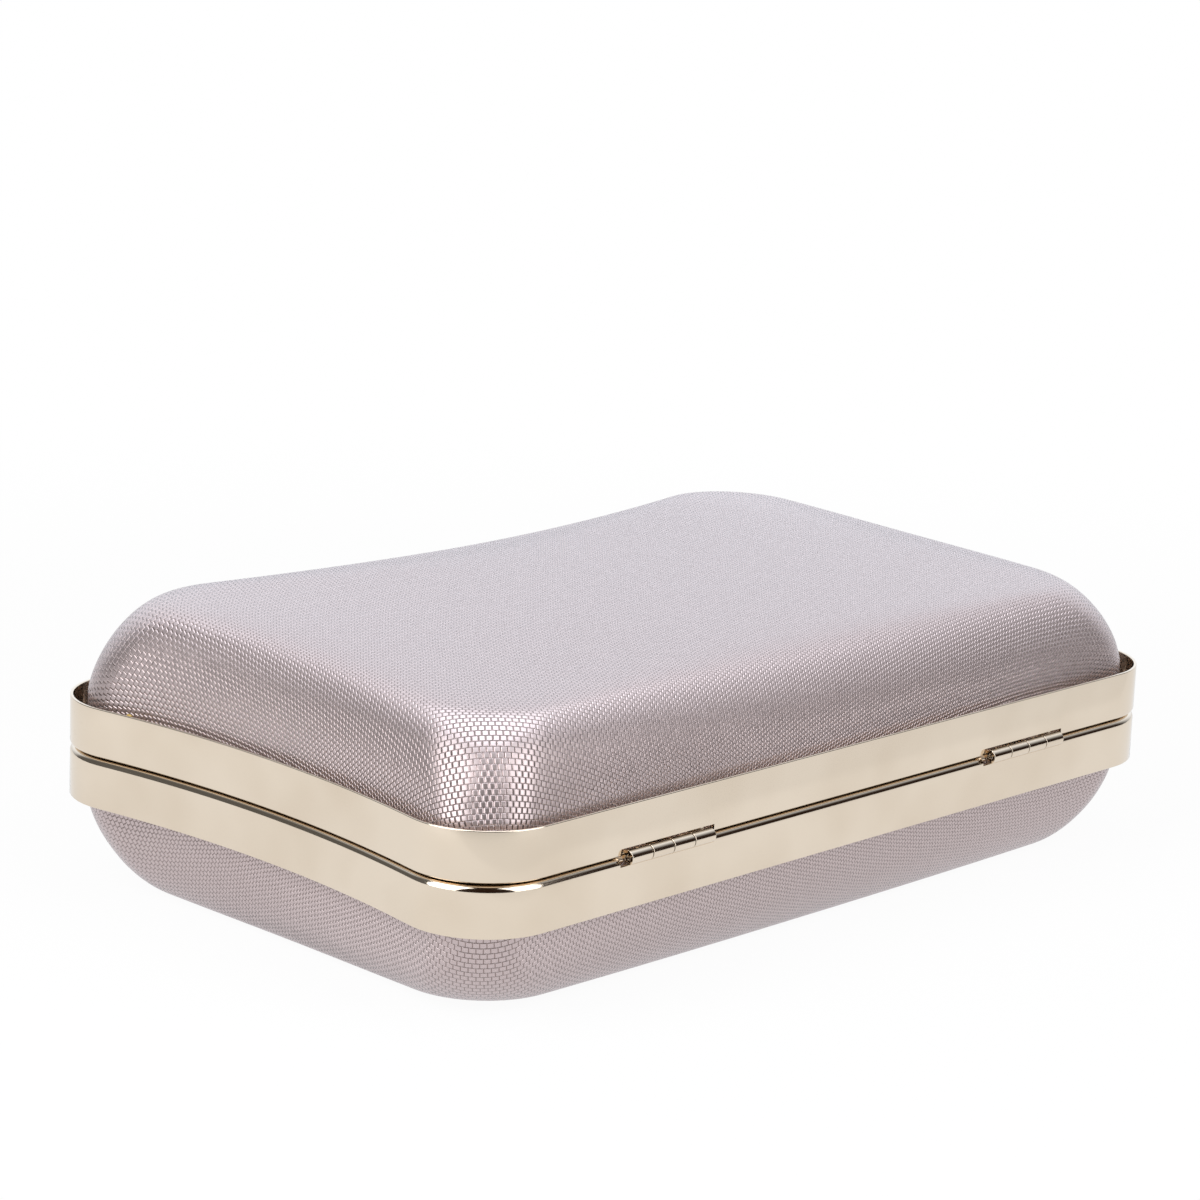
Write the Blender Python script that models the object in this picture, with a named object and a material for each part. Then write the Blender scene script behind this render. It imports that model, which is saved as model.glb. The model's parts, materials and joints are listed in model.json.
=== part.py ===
"""Hard-shell evening clutch: two domed half shells in sheet-metal frames, two hinges and a press clasp.

Units are metres and +Z is up. The clutch lies on its base shell, with the clasp facing -Y and the
hinges along +Y. The world origin is on the ground, at the centre of the footprint. Each half is, from
the outside in, an embossed cover, a moulded shell and a fabric lining, whose rims stand on the flange
of a bent sheet-metal frame. The lid's pieces hang from an empty on the hinge axis.
"""

from dataclasses import dataclass
from math import asin, cos, pi, sin

import bmesh
import bpy
from mathutils import Matrix, Vector

MM = 0.001

# Outline of the metal frames, seen from above
CASE_LENGTH = 200.0 * MM
CASE_WIDTH = 126.2 * MM
CORNER_RADIUS = 15.8 * MM
END_HOLLOW = 4.1 * MM
FRONT_HOLLOW = 12.6 * MM

# Sheet-metal frames: heights are measured from the seam, the plane where the two halves meet
BAND_HEIGHT = 10.1 * MM
FRAME_SHEET = 0.6 * MM
SEAM_GAP = 0.3 * MM
LID_LIP_RADIUS = 0.8 * MM
BASE_LIP_RADIUS = 1.4 * MM

# Domed halves: the cover rises out of the band and rolls over to a gently crowned top
COVER_INSET = 3.4 * MM
DOME_HEIGHT = 16.9 * MM
DOME_INSET = 8.7 * MM
DOME_EXPONENT = 1.55
TOP_CORNER_RADIUS = 16.5 * MM
FRONT_HOLLOW_LOST_SHARE = 0.33
LENGTH_CROWN = 1.2 * MM
WIDTH_CROWN = 1.0 * MM
LID_TILT = 1.7 * MM
REST_PRESS = 0.4 * MM

# Layers of each half and the gaps between pieces that touch
COVER_THICKNESS = 0.9 * MM
SHELL_THICKNESS = 1.5 * MM
LINING_THICKNESS = 0.7 * MM
LAYER_GAP = 0.3 * MM
SEAT_GAP = 0.1 * MM

# Hinges: rolled leaves whose feet are riveted to the frames' flanges
HINGE_LENGTH = 22.5 * MM
HINGE_SPACING = 104.6 * MM
KNUCKLE_RADIUS = 1.45 * MM
KNUCKLE_GAP = 0.2 * MM
KNUCKLES = 4
HINGE_STANDOFF = 0.4 * MM
LEAF_SHEET = 0.6 * MM
PIN_RADIUS = 0.68 * MM
PIN_CLEARANCE = 0.07 * MM
PIN_RECESS = 0.4 * MM
NOTCH_CLEARANCE = 0.3 * MM
NOTCH_END = 1.2 * MM
RIVET_RADIUS = 0.45 * MM
RIVET_HEAD_RADIUS = 0.75 * MM
RIVET_HEAD_HEIGHT = 0.5 * MM
RIVET_SPACING = 12.0 * MM

# Press clasp in the middle of the lid's front band
COLLAR_RADIUS = 4.4 * MM
COLLAR_HEIGHT = 1.8 * MM
COLLAR_FLOOR = 0.4 * MM
COLLAR_RIM = 1.1 * MM
SPIGOT_RADIUS = 2.0 * MM
SPIGOT_PROUD = 0.4 * MM
STEM_RADIUS = 1.1 * MM
STEM_HEAD_RADIUS = 1.7 * MM
STEM_HEAD_THICKNESS = 0.4 * MM
CAP_THICKNESS = 1.0 * MM
CAP_DOME = 0.6 * MM
BUTTON_TRAVEL = 1.1 * MM
HOOK_WIDTH = 6.0 * MM
HOOK_SHEET = 0.3 * MM
HOOK_PAD_HEIGHT = 1.8 * MM
HOOK_BEND_DROP = 0.9 * MM
HOOK_TOP_MARGIN = 0.7 * MM
HOOK_FREE_PLAY = 0.3 * MM
HOOK_BITE = 0.4 * MM
HOOK_TOOTH_REACH = 0.65 * MM
HOOK_TOOTH_LAND = 0.3 * MM
HOOK_TOOTH_RAMP = 1.0 * MM
HOOK_TOOTH_DROP = 0.25 * MM
SLOT_DEPTH = 1.75 * MM

# Slip pocket sewn to the lid's lining, with its mouth towards the clasp
POCKET_LENGTH = 104.0 * MM
POCKET_BACK = 34.0 * MM
POCKET_MOUTH = 22.0 * MM
POCKET_DEPTH = 7.0 * MM
POCKET_CLOTH = 0.8 * MM
BINDING_WIDTH = 1.8 * MM
BINDING_PROUD = 0.5 * MM
BINDING_ROUND = 0.4 * MM

# Numbers of straight pieces that stand for the curves
CORNER_STEPS = 5
END_STEPS = 6
FRONT_STEPS = 9
BACK_STEPS = 4
DOME_STEPS = 5
LIP_STEPS = 3
TOP_SHARES = (0.5,)
KNUCKLE_SIDES = 16
RIVET_SIDES = 10
BUTTON_SIDES = 20
POCKET_STEPS = (6, 4)

# Lengths that follow from the ones above
HALF_LENGTH = CASE_LENGTH / 2
HALF_WIDTH = CASE_WIDTH / 2
BASE_CROWN = LENGTH_CROWN + WIDTH_CROWN - REST_PRESS
SEAM_HEIGHT = BAND_HEIGHT + DOME_HEIGHT + BASE_CROWN
SHELL_DEPTH = COVER_THICKNESS + LAYER_GAP
LINING_DEPTH = SHELL_DEPTH + SHELL_THICKNESS + LAYER_GAP
WALL_DEPTH = LINING_DEPTH + LINING_THICKNESS
FLANGE_INSET = COVER_INSET + WALL_DEPTH
FACE_HEIGHT = SEAM_GAP / 2
FLANGE_TOP = FACE_HEIGHT + FRAME_SHEET
RIM_HEIGHT = FLANGE_TOP + SEAT_GAP
AXIS_Y = HALF_WIDTH + HINGE_STANDOFF
FOOTPRINT_SHIFT = (HINGE_STANDOFF + KNUCKLE_RADIUS) / 2
STRAP_TOP = KNUCKLE_RADIUS
STRAP_BOTTOM = STRAP_TOP - LEAF_SHEET
LEAF_OUTER_Y = HALF_WIDTH - max(BASE_LIP_RADIUS, LID_LIP_RADIUS) - SEAT_GAP
LEAF_INNER_Y = HALF_WIDTH - COVER_INSET + LAYER_GAP
LEAF_MIDDLE_Y = (LEAF_OUTER_Y + LEAF_INNER_Y) / 2
PITCH = HINGE_LENGTH / KNUCKLES
RIVET_HOLE_RADIUS = RIVET_RADIUS + SEAT_GAP
BORE_RADIUS = PIN_RADIUS + PIN_CLEARANCE
CLASP_HEIGHT = BAND_HEIGHT / 2
CAP_BACK = SEAT_GAP + COLLAR_FLOOR + BUTTON_TRAVEL + SEAT_GAP
CAP_RADIUS = COLLAR_RADIUS - COLLAR_RIM - SEAT_GAP
SPIGOT_END = -(FRAME_SHEET + SPIGOT_PROUD)
STEM_END = SPIGOT_END - SEAT_GAP - STEM_HEAD_THICKNESS
HOOK_FACE = -STEM_END + HOOK_FREE_PLAY
SLOT_OUTER = HOOK_FACE - HOOK_TOOTH_REACH + HOOK_BITE


@dataclass
class Half:
    """What a half's pieces hang from, and how its dome differs from the plain one.

    Origin is the parent's place in the seam's frame. Up is -1 for the half below the seam. Tilt is how
    much lower the top gets towards the hinges, and flattened is how much of its crown is pressed flat.
    """

    parent: bpy.types.Object
    origin: Vector
    up: int = 1
    tilt: float = 0.0
    flattened: float = 0.0

    def crown(self, x, y):
        """How far the top rises above its own edge at a point, up to the flat that it may have."""
        along = LENGTH_CROWN * (1 - (x / HALF_LENGTH) ** 2)
        across = WIDTH_CROWN * (1 - (y / HALF_WIDTH) ** 2)
        highest = LENGTH_CROWN + WIDTH_CROWN - self.flattened
        return min(along + across, highest) - self.tilt * y / HALF_WIDTH

    def ceiling(self, x, y):
        """Height of the lining's inner face above the seam."""
        return BAND_HEIGHT + DOME_HEIGHT - WALL_DEPTH + self.crown(x, y)


def clear_scene():
    """Remove every object of the open scene."""
    for obj in list(bpy.data.objects):
        bpy.data.objects.remove(obj, do_unlink=True)


def make_material(name, colour, roughness, metallic):
    """Principled material with one base colour, given as linear red, green and blue."""
    material = bpy.data.materials.new(name)
    material.use_nodes = True
    shader = material.node_tree.nodes["Principled BSDF"]
    shader.inputs["Base Color"].default_value = (*colour, 1.0)
    shader.inputs["Roughness"].default_value = roughness
    shader.inputs["Metallic"].default_value = metallic
    material.diffuse_color = (*colour, 1.0)
    return material


def make_empty(name, place, parent=None):
    """Empty that carries pieces, at a place measured from its parent."""
    empty = bpy.data.objects.new(name, None)
    empty.location = place
    empty.parent = parent
    bpy.context.scene.collection.objects.link(empty)
    return empty


def make_piece(name, bm, material, half, origin=None):
    """Object from a mesh drawn in the seam's frame, with its own origin there, or else at its parent's."""
    origin = half.origin if origin is None else origin
    mesh = bpy.data.meshes.new(name)
    bm.transform(Matrix.Translation(-origin))
    bm.to_mesh(mesh)
    bm.free()
    if material is not None:
        mesh.materials.append(material)
    piece = bpy.data.objects.new(name, mesh)
    piece.location = origin - half.origin
    piece.parent = half.parent
    bpy.context.scene.collection.objects.link(piece)
    return piece


def make_cutter(name, bm, half):
    """Helper solid that only shapes other pieces."""
    cutter = make_piece(name, bm, None, half)
    cutter.hide_render = True
    cutter.display_type = "WIRE"
    return cutter


def combine(piece, other, operation):
    """Boolean of a piece with a helper solid."""
    modifier = piece.modifiers.new(f"{operation.lower()} {other.name}", "BOOLEAN")
    modifier.object = other
    modifier.operation = operation
    modifier.solver = "EXACT"


def smooth(piece, angle=pi / 6):
    """Shade a round piece smooth, with its edges above the angle kept sharp."""
    piece.data.shade_smooth()
    piece.data.set_sharp_from_angle(angle=angle)


def side_points(half, reach, radius, hollow, steps):
    """One side of the outline, drawn as if it faced +X, and the angle by which its ends turn in.

    The side is an arc that curves in by hollow between two corner arcs, which it meets smoothly.
    """
    if hollow <= 0:
        return [(half, reach * (2 * i / steps - 1)) for i in range(steps + 1)], 0.0
    corner_distance = (hollow**2 + reach**2) / (2 * hollow)
    arc = corner_distance - radius
    turn = asin(reach / corner_distance)
    centre = half - hollow + arc
    angles = [turn * (2 * i / steps - 1) for i in range(steps + 1)]
    return [(centre - arc * cos(angle), arc * sin(angle)) for angle in angles], turn


def corner_points(x, y, radius, start, end):
    """Inner points of one corner arc; its ends belong to the sides."""
    angles = [start + (end - start) * i / CORNER_STEPS for i in range(1, CORNER_STEPS)]
    return [(x + radius * cos(angle), y + radius * sin(angle)) for angle in angles]


def outline(inset, radius, end_hollow, front_hollow):
    """Closed outline seen from above, counter-clockwise, moved in from the frame's outer face."""
    half_x = HALF_LENGTH - inset
    half_y = HALF_WIDTH - inset
    centre_x = half_x - radius
    centre_y = half_y - radius
    end, end_turn = side_points(half_x, centre_y, radius, end_hollow, END_STEPS)
    front, front_turn = side_points(half_y, centre_x, radius, front_hollow, FRONT_STEPS)
    back, _ = side_points(half_y, centre_x, radius, 0, BACK_STEPS)
    points = list(end)
    points += corner_points(centre_x, centre_y, radius, -end_turn, pi / 2)
    points += [(-y, x) for x, y in back]
    points += corner_points(-centre_x, centre_y, radius, pi / 2, pi + end_turn)
    points += [(-x, -y) for x, y in end]
    points += corner_points(-centre_x, -centre_y, radius, pi - end_turn, 3 * pi / 2 + front_turn)
    points += [(y, -x) for x, y in front]
    points += corner_points(centre_x, -centre_y, radius, 3 * pi / 2 - front_turn, 2 * pi + end_turn)
    return points


def frame_outline(inset):
    """Outline of the frame's walls and flange."""
    return outline(inset, CORNER_RADIUS - inset, END_HOLLOW, FRONT_HOLLOW)


def front_face():
    """Y of the flat middle stretch of the front band's outer face."""
    front, _ = side_points(
        HALF_WIDTH, HALF_LENGTH - CORNER_RADIUS, CORNER_RADIUS, FRONT_HOLLOW, FRONT_STEPS
    )
    return -front[FRONT_STEPS // 2][0]


def mirror(bm, up):
    """Turn a mesh drawn above the seam upside down for the base, with its faces still outwards."""
    bm.transform(Matrix.Diagonal((1, 1, up, 1)))
    if up < 0:
        bmesh.ops.reverse_faces(bm, faces=bm.faces)


def join_rings(bm, rings, closed=False):
    """Quads between rings of equally many vertices."""
    followers = rings[1:] + rings[:1] if closed else rings[1:]
    for ring, following in zip(rings, followers):
        for i, vertex in enumerate(ring):
            j = (i + 1) % len(ring)
            bm.faces.new((vertex, ring[j], following[j], following[i]))


def dome_rings(bm, depth, half):
    """Rings of one skin of a half at a depth under the cover, from its rim to the middle of its top."""
    rim_radius = CORNER_RADIUS - COVER_INSET - depth
    edge = outline(COVER_INSET + depth, rim_radius, END_HOLLOW, FRONT_HOLLOW)
    rings = [[bm.verts.new((x, y, RIM_HEIGHT)) for x, y in edge]]
    for step in range(DOME_STEPS + 1):
        angle = pi / 2 * step / DOME_STEPS
        risen = sin(angle) ** (2 / DOME_EXPONENT)
        drawn_in = 1 - cos(angle) ** (2 / DOME_EXPONENT)
        edge = outline(
            COVER_INSET + depth + (DOME_INSET - depth) * drawn_in,
            rim_radius + (TOP_CORNER_RADIUS - rim_radius) * drawn_in,
            END_HOLLOW * (1 - drawn_in),
            FRONT_HOLLOW * (1 - FRONT_HOLLOW_LOST_SHARE * drawn_in),
        )
        ring = []
        for x, y in edge:
            rise = DOME_HEIGHT - depth + half.crown(x, y)
            ring.append(bm.verts.new((x, y, BAND_HEIGHT + rise * risen)))
        rings.append(ring)
    top = BAND_HEIGHT + DOME_HEIGHT - depth
    for share in TOP_SHARES:
        inner = [(share * x, share * y) for x, y in edge]
        rings.append([bm.verts.new((x, y, top + half.crown(x, y))) for x, y in inner])
    return rings


def close_top(bm, ring, height):
    """Triangles from the innermost ring of a skin to its middle."""
    middle = bm.verts.new((0, 0, height))
    for i, vertex in enumerate(ring):
        bm.faces.new((vertex, ring[(i + 1) % len(ring)], middle))


def make_layer(name, depth, thickness, material, half):
    """One layer of a half: two domed skins, joined round the rim that stands on the frame's flange."""
    bm = bmesh.new()
    skins = []
    for skin_depth in (depth, depth + thickness):
        rings = dome_rings(bm, skin_depth, half)
        top = BAND_HEIGHT + DOME_HEIGHT - skin_depth + half.crown(0, 0)
        close_top(bm, rings[-1], top)
        skins.append(rings)
    outer, inner = skins
    join_rings(bm, outer)
    join_rings(bm, inner)
    join_rings(bm, [outer[0], inner[0]])
    bmesh.ops.recalc_face_normals(bm, faces=bm.faces)
    mirror(bm, half.up)
    smooth(make_piece(name, bm, material, half))


def frame_section(lip):
    """Section of a frame as (inset, height above the seam): flange, rolled lip and upright band."""
    middle = FACE_HEIGHT + lip
    inner = lip - FRAME_SHEET
    outside = [pi / 2 * step / LIP_STEPS for step in range(LIP_STEPS + 1)]
    section = [(0, BAND_HEIGHT)]
    section += [(lip - lip * cos(angle), middle - lip * sin(angle)) for angle in outside]
    section += [(FLANGE_INSET, FACE_HEIGHT), (FLANGE_INSET, FLANGE_TOP)]
    inside = (pi / 2, pi / 4, 0)
    section += [(lip - inner * cos(angle), middle - inner * sin(angle)) for angle in inside]
    section.append((FRAME_SHEET, BAND_HEIGHT))
    return section


def make_frame(name, lip, material, half, cutters):
    """Sheet-metal frame: its section carried round the outline, then cut for hinges and clasp."""
    bm = bmesh.new()
    rings = []
    for inset, height in frame_section(lip):
        rings.append([bm.verts.new((x, y, height)) for x, y in frame_outline(inset)])
    join_rings(bm, rings, closed=True)
    bmesh.ops.recalc_face_normals(bm, faces=bm.faces)
    mirror(bm, half.up)
    frame = make_piece(name, bm, material, half)
    smooth(frame)
    for cutter in cutters:
        combine(frame, cutter, "DIFFERENCE")
    return frame


def box_mesh(low, high):
    """Box between two corners."""
    bm = bmesh.new()
    bmesh.ops.create_cube(bm, size=1)
    size = Vector(high) - Vector(low)
    bm.transform(Matrix.Diagonal((*size, 1)))
    bm.transform(Matrix.Translation((Vector(low) + Vector(high)) / 2))
    return bm


def rod_mesh(start, end, radius, sides):
    """Round rod between two points, with a flat side facing each axis."""
    bm = bmesh.new()
    axis = Vector(end) - Vector(start)
    bmesh.ops.create_cone(
        bm, cap_ends=True, segments=sides, radius1=radius, radius2=radius, depth=axis.length
    )
    turn = Vector((0, 0, 1)).rotation_difference(axis).to_matrix().to_4x4()
    bm.transform(Matrix.Translation((Vector(start) + Vector(end)) / 2) @ turn)
    return bm


def prism_mesh(section, low, high):
    """Section drawn in Y and Z, extruded along X."""
    bm = bmesh.new()
    face = bm.faces.new([bm.verts.new((low, y, z)) for y, z in section])
    extruded = bmesh.ops.extrude_face_region(bm, geom=[face])["geom"]
    moved = [item for item in extruded if isinstance(item, bmesh.types.BMVert)]
    bmesh.ops.translate(bm, verts=moved, vec=(high - low, 0, 0))
    bmesh.ops.recalc_face_normals(bm, faces=bm.faces)
    return bm


def turned_mesh(profile, sides, closed=False):
    """Profile of (radius, height) turned about Z; a closed one is a ring, an open one ends on the axis."""
    bm = bmesh.new()
    vertices = [bm.verts.new((radius, 0, height)) for radius, height in profile]
    edges = [bm.edges.new(pair) for pair in zip(vertices, vertices[1:])]
    if closed:
        edges.append(bm.edges.new((vertices[-1], vertices[0])))
    turn = {"axis": (0, 0, 1), "cent": (0, 0, 0), "angle": 2 * pi, "steps": sides}
    bmesh.ops.spin(bm, geom=vertices + edges, **turn)
    bmesh.ops.remove_doubles(bm, verts=bm.verts, dist=SEAT_GAP / 100)
    bmesh.ops.recalc_face_normals(bm, faces=bm.faces)
    return bm


def knuckle_section(up):
    """Rolled edge of a leaf: a round barrel that runs on into a strap, tangent on the leaf's own side."""
    strap_meets = pi - asin(STRAP_BOTTOM / KNUCKLE_RADIUS)
    section = [(LEAF_OUTER_Y - LAYER_GAP, STRAP_TOP), (AXIS_Y, STRAP_TOP)]
    sweep = pi / 2 + 2 * pi - strap_meets
    steps = KNUCKLE_SIDES - 2
    for step in range(1, steps + 1):
        angle = pi / 2 - sweep * step / steps
        section.append((AXIS_Y + KNUCKLE_RADIUS * cos(angle), KNUCKLE_RADIUS * sin(angle)))
    section.append((LEAF_OUTER_Y - LAYER_GAP, STRAP_BOTTOM))
    return [(y, up * z) for y, z in section]


def make_leaf(name, middle, first_knuckle, material, half, base, holes):
    """Hinge leaf: a foot on the flange inside the band and every second knuckle of the hinge."""
    low, high = sorted((half.up * STRAP_BOTTOM, half.up * STRAP_TOP))
    reach = HINGE_LENGTH / 2
    foot = box_mesh((middle - reach, LEAF_INNER_Y, low), (middle + reach, LEAF_OUTER_Y, high))
    leaf = make_piece(name, foot, material, half, Vector((middle, AXIS_Y, 0)))
    for knuckle in range(first_knuckle, KNUCKLES, 2):
        start = middle + reach - PITCH * (knuckle + 1) + KNUCKLE_GAP / 2
        barrel = prism_mesh(knuckle_section(half.up), start, start + PITCH - KNUCKLE_GAP)
        combine(leaf, make_cutter(f"{name}_barrel_{knuckle + 1}", barrel, base), "UNION")
    for hole in holes:
        combine(leaf, hole, "DIFFERENCE")
    return leaf


def make_rivet(name, x, material, half):
    """Rivet through a leaf's foot and the flange, flush with the seam face."""
    head = STRAP_TOP + SEAT_GAP
    profile = [
        (0, FACE_HEIGHT),
        (RIVET_RADIUS, FACE_HEIGHT),
        (RIVET_RADIUS, head),
        (RIVET_HEAD_RADIUS, head),
        (RIVET_HEAD_RADIUS, head + RIVET_HEAD_HEIGHT / 2),
        (RIVET_HEAD_RADIUS / 2, head + RIVET_HEAD_HEIGHT),
        (0, head + RIVET_HEAD_HEIGHT),
    ]
    bm = turned_mesh(profile, RIVET_SIDES)
    mirror(bm, half.up)
    place = Vector((x, LEAF_MIDDLE_Y, 0))
    bm.transform(Matrix.Translation(place))
    smooth(make_piece(name, bm, material, half, place))


def make_hinge(side, middle, materials, halves, cut):
    """One four-knuckle hinge with its pin and rivets, and the cuts that it needs in both frames."""
    base = halves["base"]
    reach = HINGE_LENGTH / 2
    notch_height = STRAP_TOP + NOTCH_CLEARANCE
    notch = box_mesh(
        (middle - reach - NOTCH_END, LEAF_OUTER_Y, -notch_height),
        (middle + reach + NOTCH_END, AXIS_Y, notch_height),
    )
    cut["frames"].append(make_cutter(f"{side}_hinge_notch", notch, base))
    bore_start = (middle - reach - KNUCKLE_RADIUS, AXIS_Y, 0)
    bore_end = (middle + reach + KNUCKLE_RADIUS, AXIS_Y, 0)
    bore = rod_mesh(bore_start, bore_end, BORE_RADIUS, KNUCKLE_SIDES)
    holes = [make_cutter(f"{side}_hinge_bore", bore, base)]
    rivet_places = [middle - RIVET_SPACING / 2, middle + RIVET_SPACING / 2]
    for number, x in enumerate(rivet_places, 1):
        ends = [(x, LEAF_MIDDLE_Y, -notch_height), (x, LEAF_MIDDLE_Y, notch_height)]
        hole = rod_mesh(*ends, RIVET_HOLE_RADIUS, RIVET_SIDES)
        holes.append(make_cutter(f"{side}_hinge_rivet_hole_{number}", hole, base))
        cut["frames"].append(holes[-1])
    pin_start = (middle - reach + PIN_RECESS, AXIS_Y, 0)
    pin_end = (middle + reach - PIN_RECESS, AXIS_Y, 0)
    pin = rod_mesh(pin_start, pin_end, PIN_RADIUS, KNUCKLE_SIDES)
    on_axis = Vector((middle, AXIS_Y, 0))
    smooth(make_piece(f"{side}_hinge_pin", pin, materials["steel"], base, on_axis))
    for first_knuckle, half_name in enumerate(("lid", "base")):
        half = halves[half_name]
        name = f"{side}_hinge_{half_name}_leaf"
        smooth(make_leaf(name, middle, first_knuckle, materials["gold"], half, base, holes))
        for number, x in enumerate(rivet_places, 1):
            make_rivet(f"{side}_hinge_{half_name}_rivet_{number}", x, materials["steel"], half)


def face_outwards(bm, place):
    """Stand a turned piece's axis out of the front band, with its own height pointing away from it."""
    bm.transform(Matrix.Translation(place) @ Matrix.Rotation(pi / 2, 4, "X"))
    return bm


def make_collar(place, material, lid):
    """Bezel that is pressed into the lid's band and guides the button."""
    bore = COLLAR_RADIUS - COLLAR_RIM
    stem_hole = STEM_RADIUS + SEAT_GAP
    top = SEAT_GAP + COLLAR_HEIGHT
    floor = SEAT_GAP + COLLAR_FLOOR
    bevel = COLLAR_RIM / 3
    profile = [
        (stem_hole, SPIGOT_END),
        (SPIGOT_RADIUS, SPIGOT_END),
        (SPIGOT_RADIUS, SEAT_GAP),
        (COLLAR_RADIUS, SEAT_GAP),
        (COLLAR_RADIUS, top - bevel),
        (COLLAR_RADIUS - bevel, top),
        (bore + bevel, top),
        (bore, top - bevel),
        (bore, floor),
        (stem_hole, floor),
    ]
    collar = face_outwards(turned_mesh(profile, BUTTON_SIDES, closed=True), place)
    smooth(make_piece("button_collar", collar, material, lid, place))


def make_button(place, material, lid):
    """Button: domed cap, stem through the collar and the head that keeps it in."""
    front = CAP_BACK + CAP_THICKNESS
    profile = [
        (0, STEM_END),
        (STEM_HEAD_RADIUS, STEM_END),
        (STEM_HEAD_RADIUS, STEM_END + STEM_HEAD_THICKNESS),
        (STEM_RADIUS, STEM_END + STEM_HEAD_THICKNESS),
        (STEM_RADIUS, CAP_BACK),
        (CAP_RADIUS, CAP_BACK),
        (CAP_RADIUS, front),
        (CAP_RADIUS * cos(pi / 6), front + CAP_DOME * sin(pi / 6)),
        (CAP_RADIUS * cos(pi / 3), front + CAP_DOME * sin(pi / 3)),
        (0, front + CAP_DOME),
    ]
    button = face_outwards(turned_mesh(profile, BUTTON_SIDES), place)
    slide = make_empty("button_slide", place - lid.origin, lid.parent)
    smooth(make_piece("push_button", button, material, Half(slide, place)))


def make_hook(face, material, lid):
    """Spring strip welded inside the lid's band, whose tooth bites under the base frame's flange."""
    pad = face + FRAME_SHEET + SEAT_GAP
    front = face + HOOK_FACE
    back = front + HOOK_SHEET
    pad_top = BAND_HEIGHT - HOOK_TOP_MARGIN
    pad_foot = pad_top - HOOK_PAD_HEIGHT
    bend = pad_foot - HOOK_BEND_DROP
    tooth_tip = front - HOOK_TOOTH_REACH
    tooth_top = -FLANGE_TOP - HOOK_TOOTH_DROP
    tooth_foot = tooth_top - HOOK_TOOTH_LAND - HOOK_TOOTH_RAMP
    section = [
        (pad, pad_top),
        (pad, pad_foot),
        (front, bend),
        (front, tooth_top),
        (tooth_tip, tooth_top),
        (tooth_tip, tooth_top - HOOK_TOOTH_LAND),
        (front, tooth_foot),
        (back, tooth_foot),
        (back, bend + HOOK_SHEET / 2),
        (pad + HOOK_SHEET, pad_foot + HOOK_SHEET / 2),
        (pad + HOOK_SHEET, pad_top),
    ]
    make_piece("latch_hook", prism_mesh(section, -HOOK_WIDTH / 2, HOOK_WIDTH / 2), material, lid)


def make_clasp(materials, halves, cut):
    """Press clasp in the lid's front band, and the cuts that it needs in the frames."""
    lid = halves["lid"]
    base = halves["base"]
    face = front_face()
    place = Vector((0, face, CLASP_HEIGHT))
    make_collar(place, materials["gold"], lid)
    make_button(place, materials["gold"], lid)
    make_hook(face, materials["steel"], lid)
    outside = (0, face - FRAME_SHEET, CLASP_HEIGHT)
    inside = (0, face + 2 * FRAME_SHEET, CLASP_HEIGHT)
    hole = rod_mesh(outside, inside, SPIGOT_RADIUS + SEAT_GAP, BUTTON_SIDES)
    cut["lid"].append(make_cutter("button_hole", hole, base))
    reach = HOOK_WIDTH / 2 + LAYER_GAP
    past_flange = FLANGE_TOP + FRAME_SHEET
    slot = box_mesh(
        (-reach, face + SLOT_OUTER, -past_flange),
        (reach, face + SLOT_OUTER + SLOT_DEPTH, past_flange),
    )
    cut["frames"].append(make_cutter("hook_slot", slot, base))


def ceiling_slab(lid, low_x, high_x, low_y, high_y, top, bottom):
    """Slab that follows the lid's ceiling, between two distances below it."""
    bm = bmesh.new()
    columns, rows = POCKET_STEPS
    layers = []
    for drop in (top, bottom):
        grid = []
        for i in range(columns + 1):
            x = low_x + (high_x - low_x) * i / columns
            ys = [low_y + (high_y - low_y) * j / rows for j in range(rows + 1)]
            grid.append([bm.verts.new((x, y, lid.ceiling(x, y) - drop)) for y in ys])
        layers.append(grid)
        for i in range(columns):
            for j in range(rows):
                bm.faces.new((grid[i][j], grid[i + 1][j], grid[i + 1][j + 1], grid[i][j + 1]))
    rims = []
    for grid in layers:
        rim = [grid[i][0] for i in range(columns)]
        rim += [grid[columns][j] for j in range(rows)]
        rim += [grid[i][rows] for i in range(columns, 0, -1)]
        rim += [grid[0][j] for j in range(rows, 0, -1)]
        rims.append(rim)
    join_rings(bm, rims)
    bmesh.ops.recalc_face_normals(bm, faces=bm.faces)
    return bm


def make_pocket(materials, halves):
    """Slip pocket on the lid's lining, closed on three sides, and the binding of its mouth."""
    lid = halves["lid"]
    reach = POCKET_LENGTH / 2
    foot = POCKET_DEPTH + POCKET_CLOTH
    body = ceiling_slab(lid, -reach, reach, -POCKET_MOUTH, POCKET_BACK, LAYER_GAP, foot)
    pocket = make_piece("slip_pocket", body, materials["lining"], lid)
    inside = ceiling_slab(
        lid,
        -reach + POCKET_CLOTH,
        reach - POCKET_CLOTH,
        -POCKET_MOUTH - POCKET_CLOTH,
        POCKET_BACK - POCKET_CLOTH,
        -POCKET_CLOTH,
        POCKET_DEPTH,
    )
    combine(pocket, make_cutter("pocket_inside", inside, halves["base"]), "DIFFERENCE")
    edge = -POCKET_MOUTH - SEAT_GAP
    top = POCKET_DEPTH - BINDING_PROUD
    strip = ceiling_slab(
        lid, -reach, reach, edge - BINDING_WIDTH, edge, top, foot + BINDING_PROUD
    )
    binding = make_piece("pocket_binding", strip, materials["trim"], lid)
    rounding = binding.modifiers.new("rounding", "BEVEL")
    rounding.width = BINDING_ROUND
    rounding.segments = 1
    rounding.limit_method = "ANGLE"


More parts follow.
